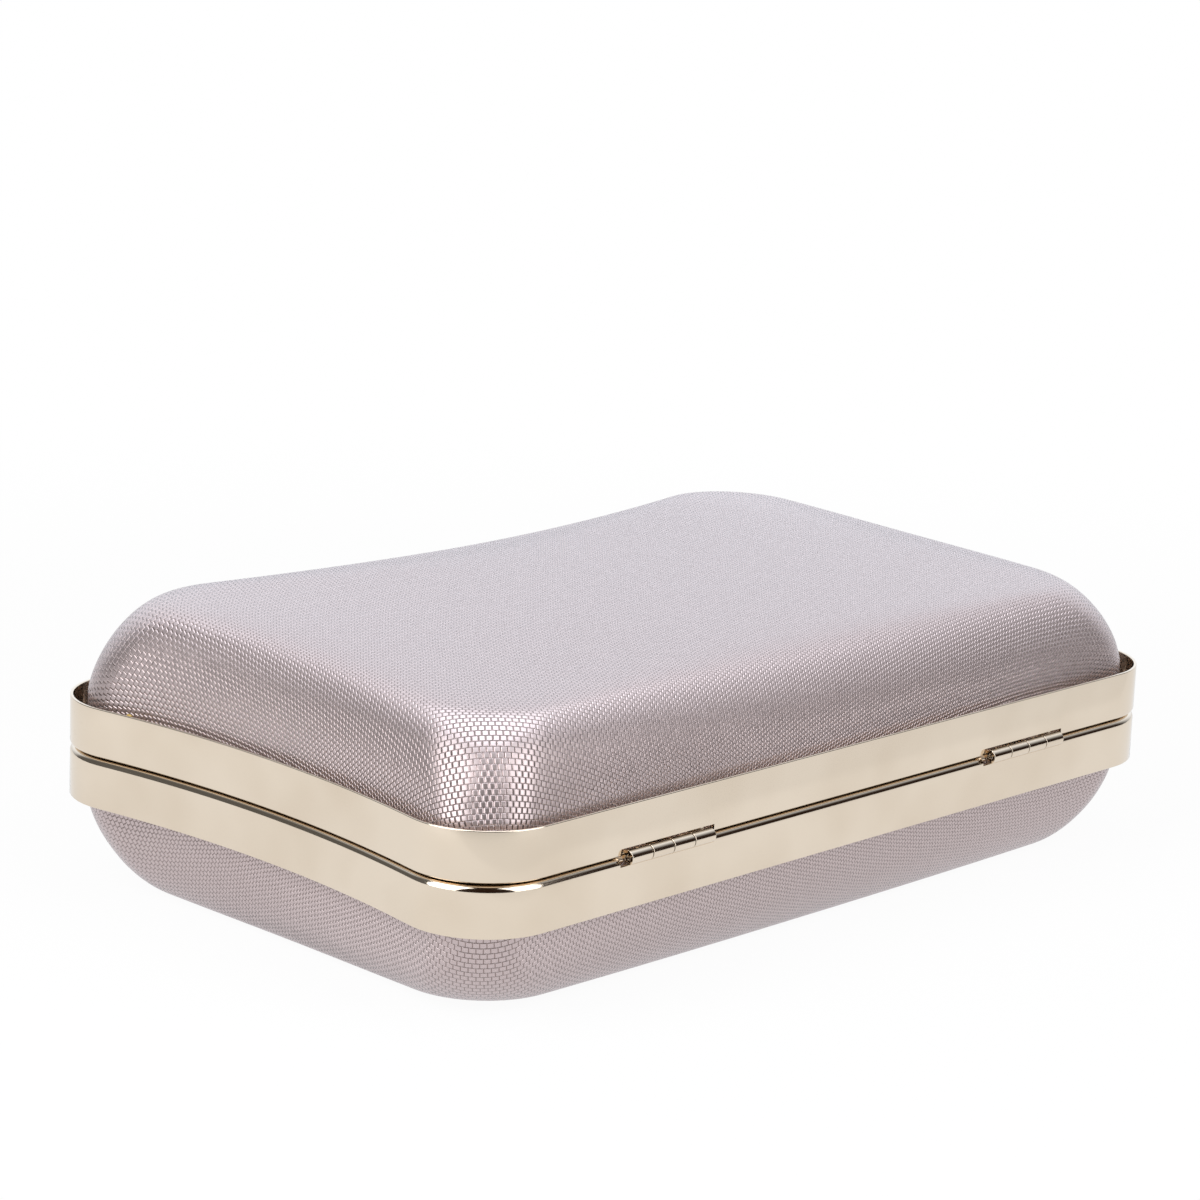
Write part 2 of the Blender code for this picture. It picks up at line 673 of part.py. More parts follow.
def build():
    """Build the whole clutch."""
    clear_scene()
    materials = {
        "cover": make_material("embossed cover", (0.56, 0.46, 0.47), 0.38, 0.55),
        "gold": make_material("polished pale gold", (0.78, 0.65, 0.52), 0.12, 1.0),
        "steel": make_material("plated steel", (0.62, 0.58, 0.52), 0.25, 1.0),
        "shell": make_material("moulded plastic shell", (0.55, 0.52, 0.50), 0.5, 0.0),
        "lining": make_material("satin lining", (0.62, 0.50, 0.48), 0.45, 0.0),
        "trim": make_material("satin binding", (0.45, 0.34, 0.33), 0.4, 0.0),
    }
    ground = make_empty("case", (0, -FOOTPRINT_SHIFT, 0))
    seam = make_empty("seam", (0, 0, SEAM_HEIGHT), ground)
    axis = Vector((0, AXIS_Y, 0))
    lid_axis = make_empty("lid_axis", axis, seam)
    halves = {
        "lid": Half(lid_axis, axis, up=1, tilt=LID_TILT),
        "base": Half(seam, Vector((0, 0, 0)), up=-1, flattened=REST_PRESS),
    }
    cut = {"frames": [], "lid": []}
    for side, middle in (("left", -HINGE_SPACING / 2), ("right", HINGE_SPACING / 2)):
        make_hinge(side, middle, materials, halves, cut)
    make_clasp(materials, halves, cut)
    make_pocket(materials, halves)
    lid_cuts = cut["frames"] + cut["lid"]
    make_frame("lid_frame", LID_LIP_RADIUS, materials["gold"], halves["lid"], lid_cuts)
    make_frame("base_frame", BASE_LIP_RADIUS, materials["gold"], halves["base"], cut["frames"])
    for name, half in halves.items():
        make_layer(f"{name}_cover", 0, COVER_THICKNESS, materials["cover"], half)
        make_layer(f"{name}_shell", SHELL_DEPTH, SHELL_THICKNESS, materials["shell"], half)
        make_layer(f"{name}_lining", LINING_DEPTH, LINING_THICKNESS, materials["lining"], half)


build()
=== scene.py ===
"""Looks of a hard-shell evening clutch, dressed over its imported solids.

The solids give every place and size. This script models the surfaces finely from the same driving
sizes: domed covers of embossed metallic leather cloth, bent frames of pale gold plated sheet, rolled
hinges, the press clasp, satin linings and the lid's slip pocket. All lengths are metres, +Z is up, and
each finished piece keeps its place in its mesh, with its object at the origin.
"""

import json
import logging
from dataclasses import dataclass
from enum import Enum
from math import asin, cos, pi, radians, sin
from typing import Any, Sequence

import bmesh
import bpy
import numpy as np
from mathutils import Matrix, Vector, noise


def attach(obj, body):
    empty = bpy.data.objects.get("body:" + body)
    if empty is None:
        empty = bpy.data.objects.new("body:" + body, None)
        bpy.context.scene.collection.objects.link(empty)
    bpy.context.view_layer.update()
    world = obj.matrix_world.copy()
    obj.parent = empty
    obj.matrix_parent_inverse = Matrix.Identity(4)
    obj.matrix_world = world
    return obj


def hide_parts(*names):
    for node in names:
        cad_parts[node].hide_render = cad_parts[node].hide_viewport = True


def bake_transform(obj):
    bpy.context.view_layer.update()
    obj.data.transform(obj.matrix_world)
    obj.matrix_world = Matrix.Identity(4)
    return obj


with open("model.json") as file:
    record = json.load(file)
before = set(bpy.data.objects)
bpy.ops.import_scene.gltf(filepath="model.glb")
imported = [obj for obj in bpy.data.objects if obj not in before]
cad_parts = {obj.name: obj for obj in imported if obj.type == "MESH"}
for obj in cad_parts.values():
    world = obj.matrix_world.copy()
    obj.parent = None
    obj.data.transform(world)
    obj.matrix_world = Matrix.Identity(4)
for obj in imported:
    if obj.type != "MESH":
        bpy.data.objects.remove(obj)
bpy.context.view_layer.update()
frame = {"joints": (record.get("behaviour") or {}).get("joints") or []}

MM = 0.001
CLOTH_MAP = "cloth"
SMOOTH_ANGLE = 35.0
LOG = logging.getLogger("clutch")


class Half(Enum):
    """The two halves of the case, which mirror each other about the seam."""

    LID = "lid"
    BASE = "base"

    @property
    def up(self) -> int:
        """Direction in which the half's height is counted from the seam."""
        return 1 if self is Half.LID else -1


class Skin(Enum):
    """The two faces of a domed layer."""

    OUTER = 0
    INNER = 1


class Side(Enum):
    """Hinges to the left and right of the middle, seen from the clasp."""

    LEFT = -1
    RIGHT = 1


def linear(hex_colour: str) -> tuple[float, float, float, float]:
    """Turn an sRGB hex colour into linear values.

    Args:
        hex_colour: Colour as "#rrggbb".

    Returns:
        Linear red, green, blue and an alpha of 1.
    """
    values = [int(hex_colour[i : i + 2], 16) / 255 for i in (1, 3, 5)]
    red, green, blue = (v / 12.92 if v <= 0.04045 else ((v + 0.055) / 1.055) ** 2.4 for v in values)
    return red, green, blue, 1.0


def direction(azimuth: float, elevation: float) -> Vector:
    """Direction of a place round the case, from azimuth (0 at -Y, 90 at +X) and elevation in degrees."""
    around, over = radians(azimuth), radians(elevation)
    return Vector((sin(around) * cos(over), -cos(around) * cos(over), sin(over)))


def wire(tree: bpy.types.NodeTree, node: bpy.types.Node, inputs: dict[Any, Any]) -> None:
    """Link or set a node's inputs.

    Args:
        tree: Node tree of the node.
        node: The node.
        inputs: Input name or number to a value to set, a socket to link, or a node whose first output
            is linked.
    """
    for key, value in inputs.items():
        if isinstance(value, bpy.types.Node):
            value = value.outputs[0]
        if isinstance(value, bpy.types.NodeSocket):
            tree.links.new(value, node.inputs[key])
        else:
            node.inputs[key].default_value = value


def add(tree: bpy.types.NodeTree, kind: str, inputs: dict[Any, Any], **settings: Any) -> bpy.types.Node:
    """Add a node to a tree.

    Args:
        tree: Node tree that gets the node.
        kind: Node type, without the word that all shader nodes start with.
        inputs: What its inputs get, as wire takes it.
        **settings: Properties of the node.

    Returns:
        The new node.
    """
    node = tree.nodes.new(f"ShaderNode{kind}")
    for name, value in settings.items():
        setattr(node, name, value)
    wire(tree, node, inputs)
    return node


def new_tree(name: str) -> tuple[bpy.types.Material, bpy.types.NodeTree, bpy.types.Node]:
    """Make a material with an empty Principled surface.

    Args:
        name: Name of the finish.

    Returns:
        The material, its node tree and its Principled node.
    """
    material = bpy.data.materials.new(name)
    material.use_nodes = True
    tree = material.node_tree
    return material, tree, tree.nodes["Principled BSDF"]


def only(piece: bpy.types.Object) -> None:
    """Select one object alone and make it active."""
    bpy.ops.object.select_all(action="DESELECT")
    piece.select_set(True)
    bpy.context.view_layer.objects.active = piece


def settle(piece: bpy.types.Object, name: str) -> bpy.types.Object:
    """Name a new primitive and move its place, turn and scale into its mesh."""
    only(piece)
    piece.name = name
    piece.data.name = name
    bpy.ops.object.transform_apply(location=True, rotation=True, scale=True)
    return piece


def block(name: str, low: Sequence[float], high: Sequence[float]) -> bpy.types.Object:
    """Add a box between two corners.

    Args:
        name: Name of the object.
        low: Lowest corner.
        high: Highest corner.

    Returns:
        The box, with its place in its mesh.
    """
    bpy.ops.object.select_all(action="DESELECT")
    middle = [(a + b) / 2 for a, b in zip(low, high)]
    size = [b - a for a, b in zip(low, high)]
    bpy.ops.mesh.primitive_cube_add(size=1, location=middle, scale=size)
    return settle(bpy.context.active_object, name)


def rod(name: str, start: Vector, end: Vector, radius: float, sides: int) -> bpy.types.Object:
    """Add a round rod between two points.

    Args:
        name: Name of the object.
        start: Middle of one end.
        end: Middle of the other end.
        radius: Radius of the rod.
        sides: Number of flat sides that stand for the round.

    Returns:
        The rod, with its place in its mesh.
    """
    bpy.ops.object.select_all(action="DESELECT")
    axis = end - start
    turn = Vector((0, 0, 1)).rotation_difference(axis).to_euler()
    bpy.ops.mesh.primitive_cylinder_add(
        vertices=sides, radius=radius, depth=axis.length, location=(start + end) / 2, rotation=turn
    )
    return settle(bpy.context.active_object, name)


def modify(piece: bpy.types.Object, kind: str, **settings: Any) -> None:
    """Add a modifier to a piece and apply it."""
    only(piece)
    modifier = piece.modifiers.new(kind.lower(), kind)
    for name, value in settings.items():
        setattr(modifier, name, value)
    bpy.ops.object.modifier_apply(modifier=modifier.name)


def carve(piece: bpy.types.Object, tool: bpy.types.Object, operation: str = "DIFFERENCE") -> None:
    """Cut a tool from a piece, or join it on, and remove the tool."""
    modify(piece, "BOOLEAN", operation=operation, solver="EXACT", object=tool)
    bpy.data.objects.remove(tool, do_unlink=True)


def cloth_map(piece: bpy.types.Object) -> bpy.types.MeshUVLoopLayer:
    """Give a piece an empty flat map as its only one, in place of the primitive's own."""
    while piece.data.uv_layers:
        piece.data.uv_layers.remove(piece.data.uv_layers[0])
    return piece.data.uv_layers.new(name=CLOTH_MAP)


def soften(piece: bpy.types.Object, angle: float = SMOOTH_ANGLE) -> None:
    """Shade a piece smooth below an angle in degrees, and keep sharper edges."""
    only(piece)
    bpy.ops.object.shade_smooth_by_angle(angle=radians(angle))


def dress(
    piece: bpy.types.Object,
    material: bpy.types.Material,
    body: str | None,
    slot: str,
    *nodes: str,
) -> None:
    """Give a piece its finish and its place in the object.

    Args:
        piece: The finished piece.
        material: Its material.
        body: Body that it rides on, or None to leave it unattached.
        slot: Name of the record's material slot; not used.
        *nodes: Solids that it stands for.
    """
    piece.data.materials.clear()
    piece.data.materials.append(material)
    if body:
        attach(piece, body)
    if nodes:
        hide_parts(*nodes)
    LOG.info("%s: %d faces on %s", piece.name, len(piece.data.polygons), body)


class Loft:
    """Mesh drawn ring by ring: a circle whose open edge is extruded and set on each next ring."""

    def __init__(self, name: str, ring: Sequence[Vector]) -> None:
        """Start with one ring.

        Args:
            name: Name of the object.
            ring: Points of the first ring.
        """
        bpy.ops.object.select_all(action="DESELECT")
        bpy.ops.mesh.primitive_circle_add(vertices=len(ring), fill_type="NOTHING")
        self.piece = bpy.context.active_object
        self.piece.name = name
        self.piece.data.name = name
        self.rings = 1
        self.skin = Skin.OUTER
        bpy.ops.object.mode_set(mode="EDIT")
        mesh = bmesh.from_edit_mesh(self.piece.data)
        for layer in ("place", "ring", "skin"):
            mesh.verts.layers.int.new(layer)
        place = mesh.verts.layers.int["place"]
        mesh.verts.ensure_lookup_table()
        for number, point in enumerate(ring):
            mesh.verts[number][place] = number
            mesh.verts[number].co = point
        bmesh.update_edit_mesh(self.piece.data)

    def extend(self, ring: Sequence[Vector]) -> None:
        """Extrude the open edge and set it on the next ring."""
        bpy.ops.mesh.extrude_edges_move()
        mesh = bmesh.from_edit_mesh(self.piece.data)
        place, number, skin = (mesh.verts.layers.int[k] for k in ("place", "ring", "skin"))
        for vertex in mesh.verts:
            if vertex.select:
                vertex.co = ring[vertex[place]]
                vertex[number] = self.rings
                vertex[skin] = self.skin.value
        self.rings += 1
        bmesh.update_edit_mesh(self.piece.data)

    def end_at(self, point: Vector) -> None:
        """Draw the open edge together in one point."""
        bpy.ops.mesh.extrude_edges_move()
        bpy.ops.mesh.merge(type="CENTER")
        mesh = bmesh.from_edit_mesh(self.piece.data)
        for vertex in mesh.verts:
            if vertex.select:
                vertex.co = point
                vertex[mesh.verts.layers.int["ring"]] = self.rings
                vertex[mesh.verts.layers.int["skin"]] = self.skin.value
        self.rings += 1
        bmesh.update_edit_mesh(self.piece.data)

    def pick(self, *rings: int) -> None:
        """Select the edges of whole rings."""
        bpy.ops.mesh.select_all(action="DESELECT")
        mesh = bmesh.from_edit_mesh(self.piece.data)
        number = mesh.verts.layers.int["ring"]
        for edge in mesh.edges:
            ends = {vertex[number] for vertex in edge.verts}
            if len(ends) == 1 and ends <= set(rings):
                edge.select_set(True)
        bmesh.update_edit_mesh(self.piece.data)

    def close(self) -> None:
        """Bridge the last ring to the first one."""
        self.pick(0, self.rings - 1)
        bpy.ops.mesh.bridge_edge_loops()

    def finish(self, angle: float = SMOOTH_ANGLE) -> bpy.types.Object:
        """Turn the faces outwards, shade the piece and leave edit mode.

        Args:
            angle: Edges under this many degrees are shaded smooth.

        Returns:
            The finished object.
        """
        bpy.ops.mesh.select_all(action="SELECT")
        bpy.ops.mesh.normals_make_consistent(inside=False)
        bpy.ops.object.mode_set(mode="OBJECT")
        soften(self.piece, angle)
        return self.piece


@dataclass(frozen=True)
class CaseForm:
    """Driving sizes of the case and the curves that follow from them."""

    length: float = 200.0 * MM
    width: float = 126.2 * MM
    corner_radius: float = 15.8 * MM
    end_hollow: float = 4.1 * MM
    front_hollow: float = 12.6 * MM
    band_height: float = 10.1 * MM
    sheet: float = 0.6 * MM
    seam_gap: float = 0.3 * MM
    cover_inset: float = 3.4 * MM
    dome_height: float = 16.9 * MM
    dome_inset: float = 8.7 * MM
    dome_exponent: float = 1.55
    top_corner_radius: float = 16.5 * MM
    front_hollow_lost_share: float = 0.33
    length_crown: float = 1.2 * MM
    width_crown: float = 1.0 * MM
    lid_tilt: float = 1.7 * MM
    rest_press: float = 0.4 * MM
    seat_gap: float = 0.1 * MM
    layer_gap: float = 0.3 * MM
    hinge_standoff: float = 0.4 * MM
    corner_steps: int = 16
    end_steps: int = 24
    front_steps: int = 40
    back_steps: int = 30
    dome_steps: int = 24
    top_shares: tuple[float, ...] = (0.985, 0.97, 0.95, 0.92, 0.87, 0.8, 0.7, 0.58, 0.44, 0.28, 0.12)
    shoulder_blur: float = 1.5 * MM
    shading_blur: float = 6.0 * MM
    shoulder_from: float = 6.0 * MM

    @property
    def hinge_line(self) -> Vector:
        """Middle of the hinge axis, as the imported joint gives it."""
        joint = next(j for j in frame["joints"] if j["name"] == "lid_swing")
        return Vector(joint["pos_m"])

    @property
    def seam(self) -> float:
        """Height of the seam over the ground."""
        return self.hinge_line.z

    @property
    def middle_y(self) -> float:
        """Y of the middle of the outline."""
        return self.hinge_line.y - self.width / 2 - self.hinge_standoff

    @property
    def face_height(self) -> float:
        """Height of a frame's flat face over the seam."""
        return self.seam_gap / 2

    @property
    def flange_top(self) -> float:
        """Height of the flange's inner side over the seam."""
        return self.face_height + self.sheet

    def at(self, half: Half, x: float, y: float, height: float) -> Vector:
        """Turn a place on the outline and a height over the seam into a point.

        Args:
            half: Half that the point belongs to.
            x: Place along the case from its middle.
            y: Place across the case from its middle.
            height: Distance from the seam, upwards in the lid and downwards in the base.

        Returns:
            The point in the object's frame.
        """
        return Vector((x, y + self.middle_y, self.seam + half.up * height))

    def side(
        self, reach: float, span: float, radius: float, hollow: float, steps: int
    ) -> tuple[list[tuple[float, float]], float]:
        """Draw one side of an outline as if it faced +X.

        Args:
            reach: Distance of the corner arcs' outermost point from the middle.
            span: Distance of the corner arcs' centres from the side's middle.
            radius: Radius of the corner arcs.
            hollow: How far the side curves in between them.
            steps: Number of straight pieces.

        Returns:
            The points of the side and the angle by which its ends turn in.
        """
        if hollow <= 0:
            return [(reach, span * (2 * i / steps - 1)) for i in range(steps + 1)], 0.0
        far = (hollow**2 + span**2) / (2 * hollow)
        arc = far - radius
        turn = asin(span / far)
        angles = [turn * (2 * i / steps - 1) for i in range(steps + 1)]
        centre = reach - hollow + arc
        return [(centre - arc * cos(angle), arc * sin(angle)) for angle in angles], turn

    def outline(
        self, inset: float, radius: float, end_hollow: float, front_hollow: float
    ) -> list[tuple[float, float]]:
        """Draw a closed outline seen from above, counter-clockwise.

        Args:
            inset: Distance inside the frame's outer face.
            radius: Radius of the corners.
            end_hollow: Depth of the hollow in both ends.
            front_hollow: Depth of the hollow in the front.

        Returns:
            Points as (x, y) from the middle of the case.
        """
        half_x = self.length / 2 - inset
        half_y = self.width / 2 - inset
        x = half_x - radius
        y = half_y - radius
        end, end_turn = self.side(half_x, y, radius, end_hollow, self.end_steps)
        front, front_turn = self.side(half_y, x, radius, front_hollow, self.front_steps)
        back, _ = self.side(half_y, x, radius, 0.0, self.back_steps)

        def corner(at_x: float, at_y: float, start: float, stop: float) -> list[tuple[float, float]]:
            """Inner points of a corner arc."""
            steps = self.corner_steps
            angles = [start + (stop - start) * i / steps for i in range(1, steps)]
            return [(at_x + radius * cos(a), at_y + radius * sin(a)) for a in angles]

        points = list(end)
        points += corner(x, y, -end_turn, pi / 2)
        points += [(-b, a) for a, b in back]
        points += corner(-x, y, pi / 2, pi + end_turn)
        points += [(-a, -b) for a, b in end]
        points += corner(-x, -y, pi - end_turn, 3 * pi / 2 + front_turn)
        points += [(b, -a) for a, b in front]
        points += corner(x, -y, 3 * pi / 2 - front_turn, 2 * pi + end_turn)
        return points

    def frame_outline(self, inset: float) -> list[tuple[float, float]]:
        """Outline of the frames' walls at a distance inside their outer face."""
        return self.outline(inset, self.corner_radius - inset, self.end_hollow, self.front_hollow)

    def crown(self, half: Half, x: float, y: float) -> float:
        """Rise of a half's top over its own edge at a place."""
        along = self.length_crown * (1 - (2 * x / self.length) ** 2)
        across = self.width_crown * (1 - (2 * y / self.width) ** 2)
        if half is Half.LID:
            return along + across - self.lid_tilt * 2 * y / self.width
        return min(along + across, self.length_crown + self.width_crown - self.rest_press)

    def skin(self, half: Half, depth: float) -> tuple[list[list[Vector]], Vector]:
        """Draw a half's domed skin.

        Args:
            half: Half that it belongs to.
            depth: Distance under the cover's outer face.

        Returns:
            Rings from the rim to the crowned top, and the top's middle.
        """
        rim_radius = self.corner_radius - self.cover_inset - depth
        inset = self.cover_inset + depth
        edge = self.outline(inset, rim_radius, self.end_hollow, self.front_hollow)
        rim = self.flange_top + self.seat_gap
        rings = [[self.at(half, x, y, rim) for x, y in edge]]
        rings.append([self.at(half, x, y, (rim + self.band_height) / 2) for x, y in edge])
        for step in range(self.dome_steps + 1):
            angle = pi / 2 * step / self.dome_steps
            risen = sin(angle) ** (2 / self.dome_exponent)
            drawn_in = 1 - cos(angle) ** (2 / self.dome_exponent)
            edge = self.outline(
                inset + (self.dome_inset - depth) * drawn_in,
                rim_radius + (self.top_corner_radius - rim_radius) * drawn_in,
                self.end_hollow * (1 - drawn_in),
                self.front_hollow * (1 - self.front_hollow_lost_share * drawn_in),
            )
            rises = [self.dome_height - depth + self.crown(half, x, y) for x, y in edge]
            ring = [
                self.at(half, x, y, self.band_height + rise * risen)
                for (x, y), rise in zip(edge, rises)
            ]
            rings.append(ring)
        top = self.band_height + self.dome_height - depth
        for share in self.top_shares:
            inner = [(share * x, share * y) for x, y in edge]
            rings.append([self.at(half, x, y, top + self.crown(half, x, y)) for x, y in inner])
        return self.rounded(rings, self.shoulder_blur), self.at(half, 0, 0, top + self.crown(half, 0, 0))

    def rounded(self, rings: list[list[Vector]], blur: float) -> list[list[Vector]]:
        """Round the shoulder between wall and top, as cloth does that is pulled over an edge.

        Args:
            rings: Rings of equal length from the rim to the top.
            blur: Reach of the rounding, up and down the wall.

        Returns:
            The rings, with each point moved towards the mean of those near it up and down the wall.
        """
        points = np.array(rings)
        runs = np.linalg.norm(np.diff(points, axis=0), axis=2)
        along = np.concatenate([np.zeros((1, points.shape[1])), np.cumsum(runs, axis=0)])
        spans = np.gradient(along, axis=0)
        smooth = points.copy()
        for number in range(1, len(rings) - 1):
            apart = along - along[number]
            weights = np.exp(-((apart / blur) ** 2) / 2) * spans
            mean = (weights[..., None] * points).sum(0) / weights.sum(0)[:, None]
            share = np.clip(along[number] / self.shoulder_from - 1, 0, 1)[:, None]
            smooth[number] += (mean - points[number]) * share
        return [[Vector(point) for point in ring] for ring in smooth]


@dataclass(frozen=True)
class EmbossedLeatherCloth:
    """Embossed metallic leather cloth: a rose-silver foil over small brick-shaped grains.

    The grains lie in rows turned 45 degrees to the case. The foil mirrors softly, so each grain shows a
    pale body with a thin dark outline at the corners, and one bright stroke on the walls, where the
    smooth flanks catch the light. The outline is the grooves' darker pigment together with painted
    shade laid into the grooves. Where all that is mirrored is even, as on the top, it nearly vanishes.
    """

    raised: str = "#c5b4b1"
    groove_pigment_and_shade: str = "#8c7a75"
    bloom: str = "#ffffff"
    grain_length_mm: float = 1.02
    row_mm: float = 0.92
    grain_depth: float = 0.1 * MM
    end_share: float = 0.62
    side_share: float = 0.36
    tilt_share: float = 0.5
    foil_and_groove_shade_shares: tuple[float, float] = (0.1, 0.5)
    metallic: float = 0.84
    roughness: float = 0.33
    flank_roughness: float = 0.15
    flank_shares: tuple[float, float] = (0.3, 0.95)
    pore_share: float = 0.22
    pores_per_mm: float = 3.0
    drift_mm: float = 0.5
    drifts_per_mm: float = 0.06
    sheen: float = 0.1
    sheen_roughness: float = 0.4

    def material(self) -> bpy.types.Material:
        """Build the material on the cloth's own flat map, which is in millimetres."""
        material, tree, shader = new_tree("embossed metallic leather cloth")
        flat = add(tree, "UVMap", {}, uv_map=CLOTH_MAP)
        # Rows of a pressed cloth are never quite straight: they drift by part of a grain.
        drift = add(tree, "TexNoise", {"Vector": flat, "Scale": self.drifts_per_mm, "Detail": 1.0})
        reach = (self.drift_mm, self.drift_mm, 0)
        moved = add(
            tree, "VectorMath", {0: drift.outputs["Color"], 1: reach, 2: flat}, operation="MULTIPLY_ADD"
        )
        turned = add(tree, "Mapping", {"Vector": moved, "Rotation": (0, 0, pi / 4)})
        per_mm = (1 / self.grain_length_mm, 1 / self.row_mm, 0)
        counted = add(tree, "VectorMath", {0: turned, 1: per_mm}, operation="MULTIPLY")
        # Every second row is set off by half a grain.
        split = add(tree, "SeparateXYZ", {0: counted})
        row = add(tree, "Math", {0: split.outputs["Y"]}, operation="FLOOR")
        along = add(tree, "Math", {0: row, 1: 0.5, 2: split.outputs["X"]}, operation="MULTIPLY_ADD")
        grid = add(tree, "CombineXYZ", {"X": along, "Y": split.outputs["Y"]})
        waves = add(tree, "VectorMath", {0: grid, 1: (pi, pi, 0)}, operation="MULTIPLY")
        waves = add(tree, "VectorMath", {0: waves}, operation="SINE")
        waves = add(tree, "VectorMath", {0: waves}, operation="ABSOLUTE")
        split = add(tree, "SeparateXYZ", {0: waves})
        end, side = (
            add(
                tree,
                "MapRange",
                {"Value": split.outputs[axis], "From Max": share},
                interpolation_type="SMOOTHSTEP",
            )
            for axis, share in (("X", self.end_share), ("Y", self.side_share))
        )
        grain = add(tree, "Math", {0: end, 1: side}, operation="MULTIPLY")
        # Each grain leans its own way.
        cell = add(tree, "VectorMath", {0: grid}, operation="FLOOR")
        chance = add(tree, "TexWhiteNoise", {"Vector": cell}, noise_dimensions="2D")
        lean = add(
            tree, "VectorMath", {0: chance.outputs["Color"], 1: (0.5, 0.5, 0.5)}, operation="SUBTRACT"
        )
        inside = add(tree, "VectorMath", {0: grid}, operation="FRACTION")
        inside = add(tree, "VectorMath", {0: inside, 1: (0.5, 0.5, 0)}, operation="SUBTRACT")
        lean = add(tree, "VectorMath", {0: lean, 1: inside}, operation="DOT_PRODUCT")
        height = add(
            tree,
            "Math",
            {0: lean.outputs["Value"], 1: self.tilt_share, 2: grain},
            operation="MULTIPLY_ADD",
        )
        # The foil's own pores, 0.15 mm, are drawn twice as coarse as they are.
        pores = add(tree, "TexNoise", {"Vector": flat, "Scale": self.pores_per_mm, "Detail": 2.0})
        height = add(tree, "Math", {0: pores, 1: self.pore_share, 2: height}, operation="MULTIPLY_ADD")
        # Raised foil against grooves: the grooves' darker colour is partly their own pigment and partly
        # painted shade in the recesses.
        low, high = self.foil_and_groove_shade_shares
        foil = add(
            tree,
            "MapRange",
            {"Value": grain, "From Min": low, "From Max": high},
            interpolation_type="SMOOTHSTEP",
        )
        colour = add(
            tree, "Mix", {0: foil, 6: linear(self.groove_pigment_and_shade), 7: linear(self.raised)}, data_type="RGBA"
        )
        # The press leaves the flanks of the grains smooth, and their tops are rubbed.
        low, high = self.flank_shares
        span = {"From Min": low, "From Max": high, "To Min": self.flank_roughness}
        rough = add(tree, "MapRange", {"Value": grain, "To Max": self.roughness, **span})
        bump = add(tree, "Bump", {"Height": height, "Strength": 1.0, "Distance": self.grain_depth})
        surface = {
            "Base Color": colour.outputs[2],
            "Roughness": rough,
            "Normal": bump,
            "Metallic": self.metallic,
            "Specular Tint": linear(self.bloom),
            "Sheen Weight": self.sheen,
            "Sheen Roughness": self.sheen_roughness,
            "Sheen Tint": linear(self.bloom),
        }
        wire(tree, shader, surface)
        return material


@dataclass(frozen=True)
class PolishedPlate:
    """Rolled sheet, polished and plated: a near mirror with cloudy dull patches and faint rolling lines."""

    name: str = "polished pale gold plating"
    colour: str = "#e6d6c1"
    worn: str = "#c9b49a"
    roughness: float = 0.09
    patch_roughness: float = 0.05
    dulled: float = 0.35
    dulled_shares: tuple[float, float] = (0.4, 0.75)
    patch_shares: tuple[float, float] = (0.35, 0.7)
    patches_per_m: float = 45.0
    lines_per_m: tuple[float, float, float] = (14.0, 14.0, 2600.0)
    line_depth: float = 0.02 * MM
    line_strength: float = 0.06
    scuff_at: tuple[float, float, float] = (99.0 * MM, -58.0 * MM, 32.0 * MM)
    scuff_reach: float = 14.0 * MM
    scuff_shares: tuple[float, float] = (0.60, 0.72)
    scuff_roughness: float = 0.3
    scuffs_per_m: float = 900.0

    def material(self) -> bpy.types.Material:
        """Build the material on object coordinates."""
        material, tree, shader = new_tree(self.name)
        place = add(tree, "TexCoord", {}).outputs["Object"]
        # Rolling lines run along the sheet and are 0.2 to 0.4 mm apart.
        lines = add(tree, "Mapping", {"Vector": place, "Scale": self.lines_per_m})
        lines = add(tree, "TexNoise", {"Vector": lines, "Scale": 1.0, "Detail": 3.0})
        patches = add(tree, "TexNoise", {"Vector": place, "Scale": self.patches_per_m, "Detail": 2.0})
        # One corner, where the case is set down and picked up, is scuffed.
        apart = add(tree, "VectorMath", {0: place, 1: self.scuff_at}, operation="DISTANCE")
        falling = {"From Max": self.scuff_reach, "To Min": 1.0, "To Max": 0.0}
        near = add(tree, "MapRange", {"Value": apart.outputs["Value"], **falling})
        marks = add(
            tree,
            "TexNoise",
            {"Vector": place, "Scale": self.scuffs_per_m, "Detail": 4.0, "Roughness": 0.7},
        )
        low, high = self.scuff_shares
        marks = add(tree, "MapRange", {"Value": marks, "From Min": low, "From Max": high})
        scuffs = add(tree, "Math", {0: marks, 1: near}, operation="MULTIPLY")
        low, high = self.dulled_shares
        span = {"From Min": low, "From Max": high, "To Max": self.dulled}
        dulled = add(tree, "MapRange", {"Value": patches, **span})
        dulled = add(tree, "Math", {0: dulled, 1: scuffs}, operation="MAXIMUM")
        colour = add(
            tree, "Mix", {0: dulled, 6: linear(self.colour), 7: linear(self.worn)}, data_type="RGBA"
        )
        low, high = self.patch_shares
        span = {"From Min": low, "From Max": high, "To Min": self.roughness}
        rougher = self.roughness + self.patch_roughness
        rough = add(tree, "MapRange", {"Value": patches, "To Max": rougher, **span})
        rough = add(
            tree, "Math", {0: scuffs, 1: self.scuff_roughness, 2: rough}, operation="MULTIPLY_ADD"
        )
        bump = add(
            tree, "Bump", {"Height": lines, "Strength": self.line_strength, "Distance": self.line_depth}
        )
        surface = {
            "Base Color": colour.outputs[2],
            "Roughness": rough,
            "Normal": bump,
            "Metallic": 1.0,
        }
        wire(tree, shader, surface)
        return material


